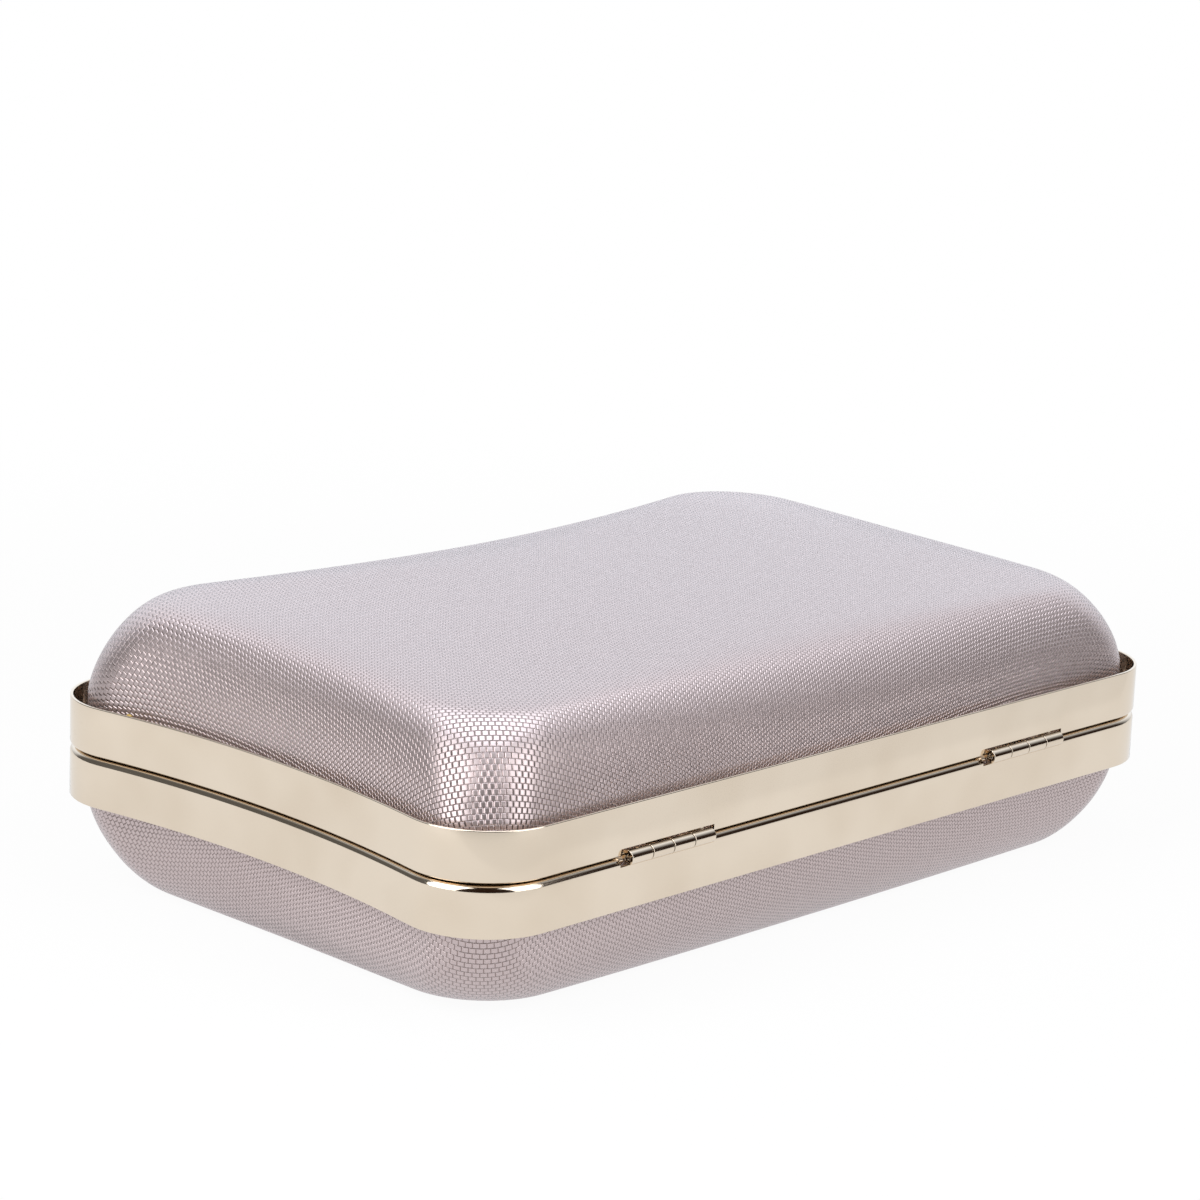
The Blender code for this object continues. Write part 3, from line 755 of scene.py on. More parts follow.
@dataclass(frozen=True)
class SatinWeave:
    """Satin: long floats on the face give a soft gloss across the threads and fine ribs."""

    name: str = "woven satin"
    colour: str = "#c7b0aa"
    shade: str = "#ad9590"
    bloom: str = "#f0dfda"
    thread_mm: float = 0.32
    float_threads: int = 5
    float_share: float = 0.3
    thread_depth: float = 0.05 * MM
    thread_strength: float = 0.35
    bias: float = 63.0
    shades_per_mm: float = 0.05
    roughness: float = 0.42
    sheen: float = 0.35
    sheen_roughness: float = 0.3

    def material(self) -> bpy.types.Material:
        """Build the material on the cloth's own flat map. Threads are drawn twice as coarse as real."""
        material, tree, shader = new_tree(self.name)
        flat = add(tree, "UVMap", {}, uv_map=CLOTH_MAP)
        turned = add(tree, "Mapping", {"Vector": flat, "Rotation": (0, 0, radians(self.bias))})
        per_mm = (pi / self.thread_mm, pi / (self.float_threads * self.thread_mm), 0)
        waves = add(tree, "VectorMath", {0: turned, 1: per_mm}, operation="MULTIPLY")
        waves = add(tree, "VectorMath", {0: waves}, operation="SINE")
        waves = add(tree, "VectorMath", {0: waves}, operation="ABSOLUTE")
        split = add(tree, "SeparateXYZ", {0: waves})
        thread = add(
            tree,
            "Math",
            {0: split.outputs["Y"], 1: self.float_share, 2: split.outputs["X"]},
            operation="MULTIPLY_ADD",
        )
        shades = add(tree, "TexNoise", {"Vector": flat, "Scale": self.shades_per_mm, "Detail": 2.0})
        colour = add(
            tree, "Mix", {0: shades, 6: linear(self.shade), 7: linear(self.colour)}, data_type="RGBA"
        )
        bump = add(
            tree,
            "Bump",
            {"Height": thread, "Strength": self.thread_strength, "Distance": self.thread_depth},
        )
        surface = {
            "Base Color": colour.outputs[2],
            "Normal": bump,
            "Roughness": self.roughness,
            "Sheen Weight": self.sheen,
            "Sheen Roughness": self.sheen_roughness,
            "Sheen Tint": linear(self.bloom),
        }
        wire(tree, shader, surface)
        return material


@dataclass(frozen=True)
class MouldedSolid:
    """Plain solids with a fine even surface: moulded plastic shells, dried glue and thread."""

    name: str
    colour: str
    roughness: float = 0.5
    grain_per_m: float = 1500.0
    uneven_roughness: float = 0.08
    grain_depth: float = 0.05 * MM
    grain_strength: float = 0.3

    def material(self) -> bpy.types.Material:
        """Build the material on object coordinates."""
        material, tree, shader = new_tree(self.name)
        place = add(tree, "TexCoord", {}).outputs["Object"]
        speck = add(tree, "TexNoise", {"Vector": place, "Scale": self.grain_per_m, "Detail": 2.0})
        smoother = self.roughness - self.uneven_roughness
        rougher = self.roughness + self.uneven_roughness
        rough = add(tree, "MapRange", {"Value": speck, "To Min": smoother, "To Max": rougher})
        bump = add(
            tree,
            "Bump",
            {"Height": speck, "Strength": self.grain_strength, "Distance": self.grain_depth},
        )
        wire(tree, shader, {"Base Color": linear(self.colour), "Roughness": rough, "Normal": bump})
        return material


@dataclass
class Finishes:
    """The materials of the whole object, each built once."""

    leather: bpy.types.Material
    gold: bpy.types.Material
    steel: bpy.types.Material
    shell: bpy.types.Material
    lining: bpy.types.Material
    binding: bpy.types.Material
    thread: bpy.types.Material
    glue: bpy.types.Material

    @classmethod
    def make(cls) -> "Finishes":
        """Build every material."""
        return cls(
            leather=EmbossedLeatherCloth().material(),
            gold=PolishedPlate().material(),
            steel=PolishedPlate(
                name="bright nickel plated steel", colour="#cfc8bd", worn="#a39b90", roughness=0.2
            ).material(),
            shell=MouldedSolid("injection moulded polypropylene", "#b9b4ae").material(),
            lining=SatinWeave().material(),
            binding=SatinWeave(
                name="folded satin tape", colour="#9b827c", shade="#88706b", thread_mm=0.28
            ).material(),
            thread=MouldedSolid("polyester sewing thread", "#a58d87", 0.45, 6000.0).material(),
            glue=MouldedSolid("dried contact glue", "#b99b52", 0.25, 800.0).material(),
        )


@dataclass
class DomedLayer:
    """One layer of a half: two domed skins that meet round the rim."""

    form: CaseForm
    half: Half
    depth: float
    thickness: float
    unevenness: float = 0.0
    wave: float = 9 * MM
    smooth_angle: float = 50.0

    def relief(self, point: Vector) -> float:
        """Small dents and swellings of cloth that is pulled over a shell, none on the flat top."""
        rise = abs(point.z - self.form.seam) - self.form.band_height
        share = min(max(1 - rise / self.form.dome_height, 0.0), 1.0)
        return self.unevenness * share * noise.noise(point / self.wave)

    def facing(self, rings: list[list[Vector]]) -> np.ndarray:
        """Direction that each point of a skin faces, outwards, as an array by ring and place."""
        points = np.array(rings)
        around = np.roll(points, -1, axis=1) - np.roll(points, 1, axis=1)
        facing = np.cross(around, np.gradient(points, axis=0))
        facing /= np.linalg.norm(facing, axis=2, keepdims=True)
        return facing * np.sign(facing[-1, 0, 2] * self.half.up)

    def ease(self, piece: bpy.types.Object, turns: np.ndarray) -> None:
        """Shade the shoulder softer than it is bent, since thick cloth spreads the bend.

        Args:
            piece: The finished layer.
            turns: What to add to the outer skin's normals, by ring and place.
        """
        mesh = piece.data
        ring, place, skin = (mesh.attributes[key].data for key in ("ring", "place", "skin"))
        normals = [corner.vector.copy() for corner in mesh.corner_normals]
        for face in mesh.polygons:
            if any(skin[v].value != Skin.OUTER.value or ring[v].value >= len(turns) for v in face.vertices):
                continue
            for corner, v in zip(face.loop_indices, face.vertices):
                turned = normals[corner] + Vector(turns[ring[v].value, place[v].value])
                normals[corner] = turned.normalized()
        mesh.normals_split_custom_set(normals)

    def build(self, name: str, shown: Skin) -> bpy.types.Object:
        """Model the layer.

        Args:
            name: Name of the object.
            shown: The skin that is seen, which gets the cloth's flat map.

        Returns:
            The finished layer.
        """
        outer, outer_top = self.form.skin(self.half, self.depth)
        inner, inner_top = self.form.skin(self.half, self.depth + self.thickness)
        turns = self.facing(self.form.rounded(outer, self.form.shading_blur)) - self.facing(outer)
        if self.unevenness > 0:
            for ring in outer[2:-len(self.form.top_shares)]:
                for point in ring:
                    away = Vector((point.x, point.y - self.form.middle_y, 0)).normalized()
                    point += away * self.relief(point)
        loft = Loft(name, outer[0])
        for ring in outer[1:]:
            loft.extend(ring)
        loft.end_at(outer_top)
        loft.pick(0)
        loft.skin = Skin.INNER
        for ring in inner:
            loft.extend(ring)
        loft.end_at(inner_top)
        piece = loft.finish(self.smooth_angle)
        lay_flat(piece, shown)
        self.ease(piece, turns)
        return piece


def lay_flat(piece: bpy.types.Object, shown: Skin, level: float = 0.99) -> None:
    """Unroll a domed skin into a flat map in millimetres, as the cloth was before it was stretched.

    One point of the rim is pinned at either end. Several lie equally far out, and the unroller picks
    one of them by chance, which slips the map by part of a grain from run to run. The map is then
    turned and scaled so that the level middle of the top keeps its place and size.

    Args:
        piece: Closed layer whose vertices know their skin.
        shown: The skin to unroll.
        level: Upward share of a face's normal past which the face counts as level.
    """
    only(piece)
    cloth_map(piece)
    bpy.ops.object.mode_set(mode="EDIT")
    bpy.ops.mesh.select_all(action="DESELECT")
    mesh = bmesh.from_edit_mesh(piece.data)
    flat = mesh.loops.layers.uv[CLOTH_MAP]
    ring, place, skin = (mesh.verts.layers.int[key] for key in ("ring", "place", "skin"))
    points = [vertex for vertex in mesh.verts if vertex[skin] == shown.value]
    pins = [min(points, key=lambda v: (way * v.co.x, v[ring], v[place])) for way in (1, -1)]
    for face in mesh.faces:
        face.select_set(all(vertex[skin] == shown.value for vertex in face.verts))
        for loop in face.loops:
            if face.select and loop.vert in pins:
                loop[flat].pin_uv = True
                loop[flat].uv = loop.vert.co.xy
    bmesh.update_edit_mesh(piece.data)
    bpy.ops.uv.unwrap(method="CONFORMAL", margin=0)
    mesh = bmesh.from_edit_mesh(piece.data)
    flat = mesh.loops.layers.uv[CLOTH_MAP]
    places, maps = [], []
    for face in mesh.faces:
        if face.select and abs(face.normal.z) > level:
            for loop in face.loops:
                places.append(complex(loop.vert.co.x, loop.vert.co.y) / MM)
                maps.append(complex(*loop[flat].uv))
    best = None
    for mirrored in (False, True):
        source = np.conj(maps) if mirrored else np.array(maps)
        system = np.c_[source, np.ones(len(source))]
        answer, left, _, _ = np.linalg.lstsq(system, np.array(places), rcond=None)
        error = float(abs(system @ answer - np.array(places)).sum())
        if best is None or error < best[0]:
            best = (error, mirrored, answer)
    _, mirrored, (scale, shift) = best
    for face in mesh.faces:
        for loop in face.loops:
            value = complex(*loop[flat].uv)
            value = (value.conjugate() if mirrored else value) * scale + shift
            loop[flat].uv = (value.real, value.imag)
    bmesh.update_edit_mesh(piece.data)
    bpy.ops.object.mode_set(mode="OBJECT")


@dataclass
class CoveredHalf:
    """Cover, moulded shell and lining of one half."""

    form: CaseForm
    finishes: Finishes
    half: Half
    cover: float = 0.9 * MM
    shell: float = 1.5 * MM
    lining: float = 0.7 * MM
    unevenness: float = 0.16 * MM
    cover_cut: tuple[float, float] = (235 * MM, 161 * MM)
    cover_area: float = 34_000 * MM * MM
    lining_cut: tuple[float, float] = (226 * MM, 153 * MM)
    lining_area: float = 31_300 * MM * MM

    @property
    def lining_depth(self) -> float:
        """Depth of the lining's outer face under the cover."""
        return self.cover + self.shell + 2 * self.form.layer_gap

    @property
    def inner_depth(self) -> float:
        """Depth of the lining's inner face under the cover."""
        return self.lining_depth + self.lining

    def build(self) -> None:
        """Model and dress the three layers."""
        name = self.half.value
        cover = DomedLayer(self.form, self.half, 0.0, self.cover, self.unevenness)
        piece = cover.build(f"{name}_cover_cloth", Skin.OUTER)
        dress(piece, self.finishes.leather, name, "cover", f"{name}_cover")
        depth = self.cover + self.form.layer_gap
        piece = DomedLayer(self.form, self.half, depth, self.shell).build(
            f"{name}_moulded_shell", Skin.INNER
        )
        dress(piece, self.finishes.shell, name, "shell", f"{name}_shell")
        piece = DomedLayer(self.form, self.half, self.lining_depth, self.lining).build(
            f"{name}_satin_lining", Skin.INNER
        )
        dress(piece, self.finishes.lining, name, "lining", f"{name}_lining")


@dataclass
class BentFrame:
    """Frame of one half: sheet metal with an upright band, a rolled lip and a flange."""

    form: CaseForm
    finishes: Finishes
    half: Half
    lip: float
    flange_inset: float = 7.1 * MM
    edge: float = 0.18 * MM
    lip_steps: int = 10
    edge_steps: int = 3

    def section(self) -> list[tuple[float, float]]:
        """Section of the sheet as (inset, height over the seam), from the seam face outwards."""
        form = self.form
        inner = self.lip - form.sheet
        middle = form.face_height + self.lip
        lip_angles = [pi / 2 * i / self.lip_steps for i in range(self.lip_steps + 1)]
        edge_angles = [pi / 2 * i / self.edge_steps for i in range(self.edge_steps + 1)]
        top = form.band_height - self.edge
        points = [(self.lip - self.lip * sin(a), middle - self.lip * cos(a)) for a in lip_angles]
        points += [(self.edge - self.edge * cos(a), top + self.edge * sin(a)) for a in edge_angles]
        inside = form.sheet - self.edge
        points += [(inside + self.edge * sin(a), top + self.edge * cos(a)) for a in edge_angles]
        points += [(self.lip - inner * cos(a), middle - inner * sin(a)) for a in lip_angles]
        foot = self.flange_inset - self.edge
        points.append((foot, form.flange_top))
        points.append((self.flange_inset, form.flange_top - self.edge))
        points.append((self.flange_inset, form.face_height + self.edge))
        points.append((foot, form.face_height))
        return points

    def build(self, cutters: Sequence[bpy.types.Object]) -> bpy.types.Object:
        """Model the frame and cut it for the hinges and the clasp.

        Args:
            cutters: Tools to cut from the sheet, which are used up.

        Returns:
            The finished frame.
        """
        rings = []
        for inset, height in self.section():
            outline = self.form.frame_outline(inset)
            rings.append([self.form.at(self.half, x, y, height) for x, y in outline])
        name = self.half.value
        loft = Loft(f"{name}_bent_frame", rings[0])
        for ring in rings[1:]:
            loft.extend(ring)
        loft.close()
        piece = loft.finish()
        for cutter in cutters:
            carve(piece, cutter)
        soften(piece)
        dress(piece, self.finishes.gold, name, "gold", f"{name}_frame")
        return piece


@dataclass
class BoxHinge:
    """Four-knuckle hinge: two rolled leaves, a pin and four rivets."""

    form: CaseForm
    finishes: Finishes
    side: Side
    lip: float
    length: float = 22.5 * MM
    spacing: float = 104.6 * MM
    knuckle_radius: float = 1.45 * MM
    knuckle_gap: float = 0.2 * MM
    knuckles: int = 4
    leaf_sheet: float = 0.6 * MM
    pin_radius: float = 0.68 * MM
    pin_clearance: float = 0.07 * MM
    pin_recess: float = 0.4 * MM
    notch_clearance: float = 0.3 * MM
    notch_end: float = 1.2 * MM
    rivet_radius: float = 0.45 * MM
    rivet_head_radius: float = 0.75 * MM
    rivet_head_height: float = 0.5 * MM
    rivet_spacing: float = 12.0 * MM
    edge: float = 0.12 * MM
    sides: int = 48
    pin_sides: int = 32
    hole_sides: int = 20
    rivet_sides: int = 24
    rivet_steps: int = 5

    @property
    def middle(self) -> float:
        """X of the hinge's middle."""
        return self.side.value * self.spacing / 2

    @property
    def axis_y(self) -> float:
        """Y of the pin, from the middle of the case."""
        return self.form.width / 2 + self.form.hinge_standoff

    @property
    def foot(self) -> tuple[float, float]:
        """Inner and outer Y of the leaves' feet, from the middle of the case."""
        inner = self.form.width / 2 - self.form.cover_inset + self.form.layer_gap
        return inner, self.form.width / 2 - self.lip - self.form.seat_gap

    @property
    def rivet_places(self) -> list[float]:
        """X of the two rivets through each foot."""
        return [self.middle - self.rivet_spacing / 2, self.middle + self.rivet_spacing / 2]

    def at(self, x: float, y: float, height: float) -> Vector:
        """Point from the middle of the case, with its height counted up from the seam."""
        return self.form.at(Half.LID, x, y, height)

    def notch(self) -> bpy.types.Object:
        """Tool for the opening that the knuckles need in both bands."""
        reach = self.length / 2 + self.notch_end
        height = self.knuckle_radius + self.notch_clearance
        low = self.at(self.middle - reach, self.foot[1], -height)
        return block("notch", low, self.at(self.middle + reach, self.axis_y, height))

    def rivet_hole(self, x: float) -> bpy.types.Object:
        """Tool for a rivet's hole through foot and flange."""
        y = sum(self.foot) / 2
        reach = self.knuckle_radius + self.notch_clearance
        radius = self.rivet_radius + self.form.seat_gap
        return rod("rivet_hole", self.at(x, y, -reach), self.at(x, y, reach), radius, self.hole_sides)

    def cutters(self) -> list[bpy.types.Object]:
        """Tools that this hinge needs in one frame."""
        return [self.notch()] + [self.rivet_hole(x) for x in self.rivet_places]

    def leaf(self, half: Half, first: int) -> None:
        """Model one leaf: its foot and every second knuckle, rolled round the pin.

        Args:
            half: Half that the leaf is riveted to.
            first: Number of its first knuckle, counted from the right end.
        """
        strap_low = self.knuckle_radius - self.leaf_sheet
        heights = sorted((half.up * strap_low, half.up * self.knuckle_radius))
        reach = self.length / 2
        name = f"{self.side.name.lower()}_hinge_{half.value}_leaf"
        low = self.at(self.middle - reach, self.foot[0], heights[0])
        high = self.at(self.middle + reach, self.foot[1], heights[1])
        leaf = block(f"{name}_rolled", low, high)
        modify(leaf, "BEVEL", width=self.edge, segments=2, limit_method="ANGLE")
        pitch = self.length / self.knuckles
        for knuckle in range(first, self.knuckles, 2):
            start = self.middle + reach - pitch * (knuckle + 1) + self.knuckle_gap / 2
            end = start + pitch - self.knuckle_gap
            ends = [self.at(x, self.axis_y, 0) for x in (start, end)]
            barrel = rod("barrel", *ends, self.knuckle_radius, self.sides)
            modify(barrel, "BEVEL", width=self.edge, segments=3, limit_method="ANGLE")
            low = self.at(start, self.foot[1] - self.form.layer_gap, heights[0])
            strap = block("strap", low, self.at(end, self.axis_y, heights[1]))
            carve(barrel, strap, "UNION")
            carve(leaf, barrel, "UNION")
        past = reach + self.knuckle_radius
        ends = [self.at(x, self.axis_y, 0) for x in (self.middle - past, self.middle + past)]
        carve(leaf, rod("bore", *ends, self.pin_radius + self.pin_clearance, self.sides))
        for x in self.rivet_places:
            carve(leaf, self.rivet_hole(x))
        soften(leaf)
        modify(leaf, "WEIGHTED_NORMAL", keep_sharp=True)
        dress(leaf, self.finishes.gold, half.value, "gold", name)

    def rivet(self, half: Half, number: int, x: float) -> None:
        """Model one rivet, with a domed head inside the band and its end flush with the seam face."""
        face = self.form.face_height
        head = self.knuckle_radius + self.form.seat_gap
        dome = [pi / 2 * i / self.rivet_steps for i in range(self.rivet_steps)]
        profile = [(self.rivet_radius, face), (self.rivet_radius, head)]
        profile += [
            (self.rivet_head_radius * cos(a), head + self.rivet_head_height * sin(a)) for a in dome
        ]
        name = f"{self.side.name.lower()}_hinge_{half.value}_rivet_{number}"
        place = self.form.at(half, x, sum(self.foot) / 2, 0)
        axis = Vector((0, 0, half.up))
        ends = (face, head + self.rivet_head_height)
        piece = turn_profile(f"{name}_domed", profile, ends, place, axis, self.rivet_sides)
        dress(piece, self.finishes.steel, half.value, "steel", name)

    def pin(self) -> None:
        """Model the pin, with rounded ends just inside the outer knuckles."""
        reach = self.length / 2 - self.pin_recess
        start = self.at(self.middle - reach, self.axis_y, 0)
        end = self.at(self.middle + reach, self.axis_y, 0)
        name = f"{self.side.name.lower()}_hinge_pin"
        pin = rod(f"{name}_ground", start, end, self.pin_radius, self.pin_sides)
        modify(pin, "BEVEL", width=2 * self.edge, segments=3, limit_method="ANGLE")
        soften(pin)
        dress(pin, self.finishes.steel, Half.BASE.value, "steel", name)

    def build(self) -> None:
        """Model and dress the whole hinge."""
        for first, half in enumerate(Half):
            self.leaf(half, first)
            for number, x in enumerate(self.rivet_places, 1):
                self.rivet(half, number, x)
        self.pin()


def turn_profile(
    name: str,
    profile: Sequence[tuple[float, float]],
    ends: tuple[float, float] | None,
    place: Vector,
    axis: Vector,
    sides: int,
) -> bpy.types.Object:
    """Turn a profile about an axis.

    Args:
        name: Name of the object.
        profile: Points as (radius, height along the axis).
        ends: Heights at which both ends close on the axis, or None where the profile is a ring.
        place: Point on the axis at height zero.
        axis: Direction of the axis.
        sides: Number of flat sides that stand for the round.

    Returns:
        The turned piece.
    """
    upright = Vector((0, 0, 1)).rotation_difference(axis).to_matrix()

    def at(radius: float, angle: float, height: float) -> Vector:
        """Point at a radius, angle and height round the axis."""
        return place + upright @ Vector((radius * cos(angle), radius * sin(angle), height))

    angles = [2 * pi * i / sides for i in range(sides)]
    rings = [[at(radius, angle, height) for angle in angles] for radius, height in profile]
    loft = Loft(name, rings[0])
    for ring in rings[1:]:
        loft.extend(ring)
    if ends is None:
        loft.close()
    else:
        loft.end_at(at(0, 0, ends[1]))
        loft.pick(0)
        loft.end_at(at(0, 0, ends[0]))
    return loft.finish()


@dataclass
class PressClasp:
    """Press clasp in the middle of the lid's front band: collar, button and spring hook."""

    form: CaseForm
    finishes: Finishes
    collar_radius: float = 4.4 * MM
    collar_height: float = 1.8 * MM
    collar_floor: float = 0.4 * MM
    collar_rim: float = 1.1 * MM
    spigot_radius: float = 2.0 * MM
    spigot_proud: float = 0.4 * MM
    stem_radius: float = 1.1 * MM
    stem_head_radius: float = 1.7 * MM
    stem_head: float = 0.4 * MM
    cap_thickness: float = 1.0 * MM
    cap_dome: float = 0.6 * MM
    travel: float = 1.1 * MM
    hook_width: float = 6.0 * MM
    hook_sheet: float = 0.3 * MM
    pad_height: float = 1.8 * MM
    bend_drop: float = 0.9 * MM
    top_margin: float = 0.7 * MM
    free_play: float = 0.3 * MM
    bite: float = 0.4 * MM
    tooth_reach: float = 0.65 * MM
    tooth_land: float = 0.3 * MM
    tooth_ramp: float = 1.0 * MM
    tooth_drop: float = 0.25 * MM
    slot_depth: float = 1.75 * MM
    hook_edge: float = 0.05 * MM
    hook_angle: float = 20.0
    edge_steps: int = 5
    cap_steps: int = 10
    cap_exponent: float = 0.7
    sides: int = 64

    @property
    def face(self) -> float:
        """Y of the front band's outer face at its middle, from the middle of the case."""
        return -(self.form.width / 2 - self.form.front_hollow)

    @property
    def place(self) -> Vector:
        """Middle of the button's hole, on the band's outer face."""
        return self.form.at(Half.LID, 0, self.face, self.form.band_height / 2)

    @property
    def spigot_end(self) -> float:
        """Where the collar's spigot ends behind the band."""
        return -(self.form.sheet + self.spigot_proud)

    @property
    def stem_end(self) -> float:
        """Where the button's stem ends behind the band."""
        return self.spigot_end - self.form.seat_gap - self.stem_head

    @property
    def hook_face(self) -> float:
        """Distance of the hook's front face behind the band's outer face."""
        return -self.stem_end + self.free_play

    def button_hole(self) -> bpy.types.Object:
        """Tool for the collar's hole in the band."""
        out = Vector((0, 2 * self.form.sheet, 0))
        radius = self.spigot_radius + self.form.seat_gap
        return rod("button_hole", self.place - out, self.place + out, radius, self.sides)

    def hook_slot(self) -> bpy.types.Object:
        """Tool for the slot that the hook passes in both flanges."""
        reach = self.hook_width / 2 + self.form.layer_gap
        past = self.form.flange_top + self.form.sheet
        near = self.face + self.hook_face - self.tooth_reach + self.bite
        low = self.form.at(Half.LID, -reach, near, -past)
        return block("hook_slot", low, self.form.at(Half.LID, reach, near + self.slot_depth, past))

    def collar(self) -> None:
        """Model the collar, with rounded edges and a flat floor that the stem passes."""
        bore = self.collar_radius - self.collar_rim
        hole = self.stem_radius + self.form.seat_gap
        seat = self.form.seat_gap
        top = seat + self.collar_height
        floor = seat + self.collar_floor
        bevel = self.collar_rim / 3
        turns = [pi / 2 * i / self.edge_steps for i in range(self.edge_steps + 1)]
        profile = [(hole, self.spigot_end), (self.spigot_radius, self.spigot_end)]
        profile += [(self.spigot_radius, seat), (self.collar_radius, seat)]
        low = top - bevel
        outer = self.collar_radius - bevel
        profile += [(outer + bevel * cos(a), low + bevel * sin(a)) for a in turns]
        profile += [(bore + bevel - bevel * sin(a), low + bevel * cos(a)) for a in turns]
        profile += [(bore, floor), (hole, floor)]
        piece = turn_profile(
            "button_collar_turned", profile, None, self.place, Vector((0, -1, 0)), self.sides
        )
        dress(piece, self.finishes.gold, Half.LID.value, "gold", "button_collar")

    def button(self) -> None:
        """Model the button: stem with its head, and a domed cap with a rounded edge."""
        back = 2 * self.form.seat_gap + self.collar_floor + self.travel
        radius = self.collar_radius - self.collar_rim - self.form.seat_gap
        front = back + self.cap_thickness
        dome = [pi / 2 * i / self.cap_steps for i in range(self.cap_steps)]
        profile = [
            (self.stem_head_radius, self.stem_end),
            (self.stem_head_radius, self.stem_end + self.stem_head),
            (self.stem_radius, self.stem_end + self.stem_head),
            (self.stem_radius, back),
            (radius, back),
        ]
        profile += [(radius * cos(a) ** self.cap_exponent, front + self.cap_dome * sin(a)) for a in dome]
        ends = (self.stem_end, front + self.cap_dome)
        piece = turn_profile(
            "push_button_domed", profile, ends, self.place, Vector((0, -1, 0)), self.sides
        )
        dress(piece, self.finishes.gold, "button", "gold", "push_button")

    def hook(self) -> None:
        """Model the spring hook: a bent strip whose tooth goes under the base's flange."""
        form = self.form
        pad = self.face + form.sheet + form.seat_gap
        front = self.face + self.hook_face
        back = front + self.hook_sheet
        pad_top = form.band_height - self.top_margin
        pad_foot = pad_top - self.pad_height
        bend = pad_foot - self.bend_drop
        tip = front - self.tooth_reach
        tooth_top = -form.flange_top - self.tooth_drop
        tooth_foot = tooth_top - self.tooth_land - self.tooth_ramp
        half_sheet = self.hook_sheet / 2
        section = [
            (pad, pad_top),
            (pad, pad_foot),
            (front, bend),
            (front, tooth_top),
            (tip, tooth_top),
            (tip, tooth_top - self.tooth_land),
            (front, tooth_foot),
            (back, tooth_foot),
            (back, bend + half_sheet),
            (pad + self.hook_sheet, pad_foot + half_sheet),
            (pad + self.hook_sheet, pad_top),
        ]
        reach = self.hook_width / 2
        loft = Loft("latch_hook_spring", [form.at(Half.LID, -reach, y, z) for y, z in section])
        bpy.ops.mesh.edge_face_add()
        loft.pick(0)
        loft.extend([form.at(Half.LID, reach, y, z) for y, z in section])
        bpy.ops.mesh.edge_face_add()
        piece = loft.finish(self.hook_angle)
        modify(piece, "BEVEL", width=self.hook_edge, segments=2, limit_method="ANGLE")
        soften(piece, self.hook_angle)
        dress(piece, self.finishes.steel, None, "steel", "latch_hook")
        # The button bends the hook's lower end back, and its pad stays on the band. The ends of
        # that bend are found below but not used.
        start, end = (form.at(Half.LID, 0, front, height) for height in (pad_foot, bend))
        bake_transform(piece)
        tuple(start)
        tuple(end)

    def build(self) -> None:
        """Model and dress the whole clasp."""
        self.collar()
        self.button()
        self.hook()


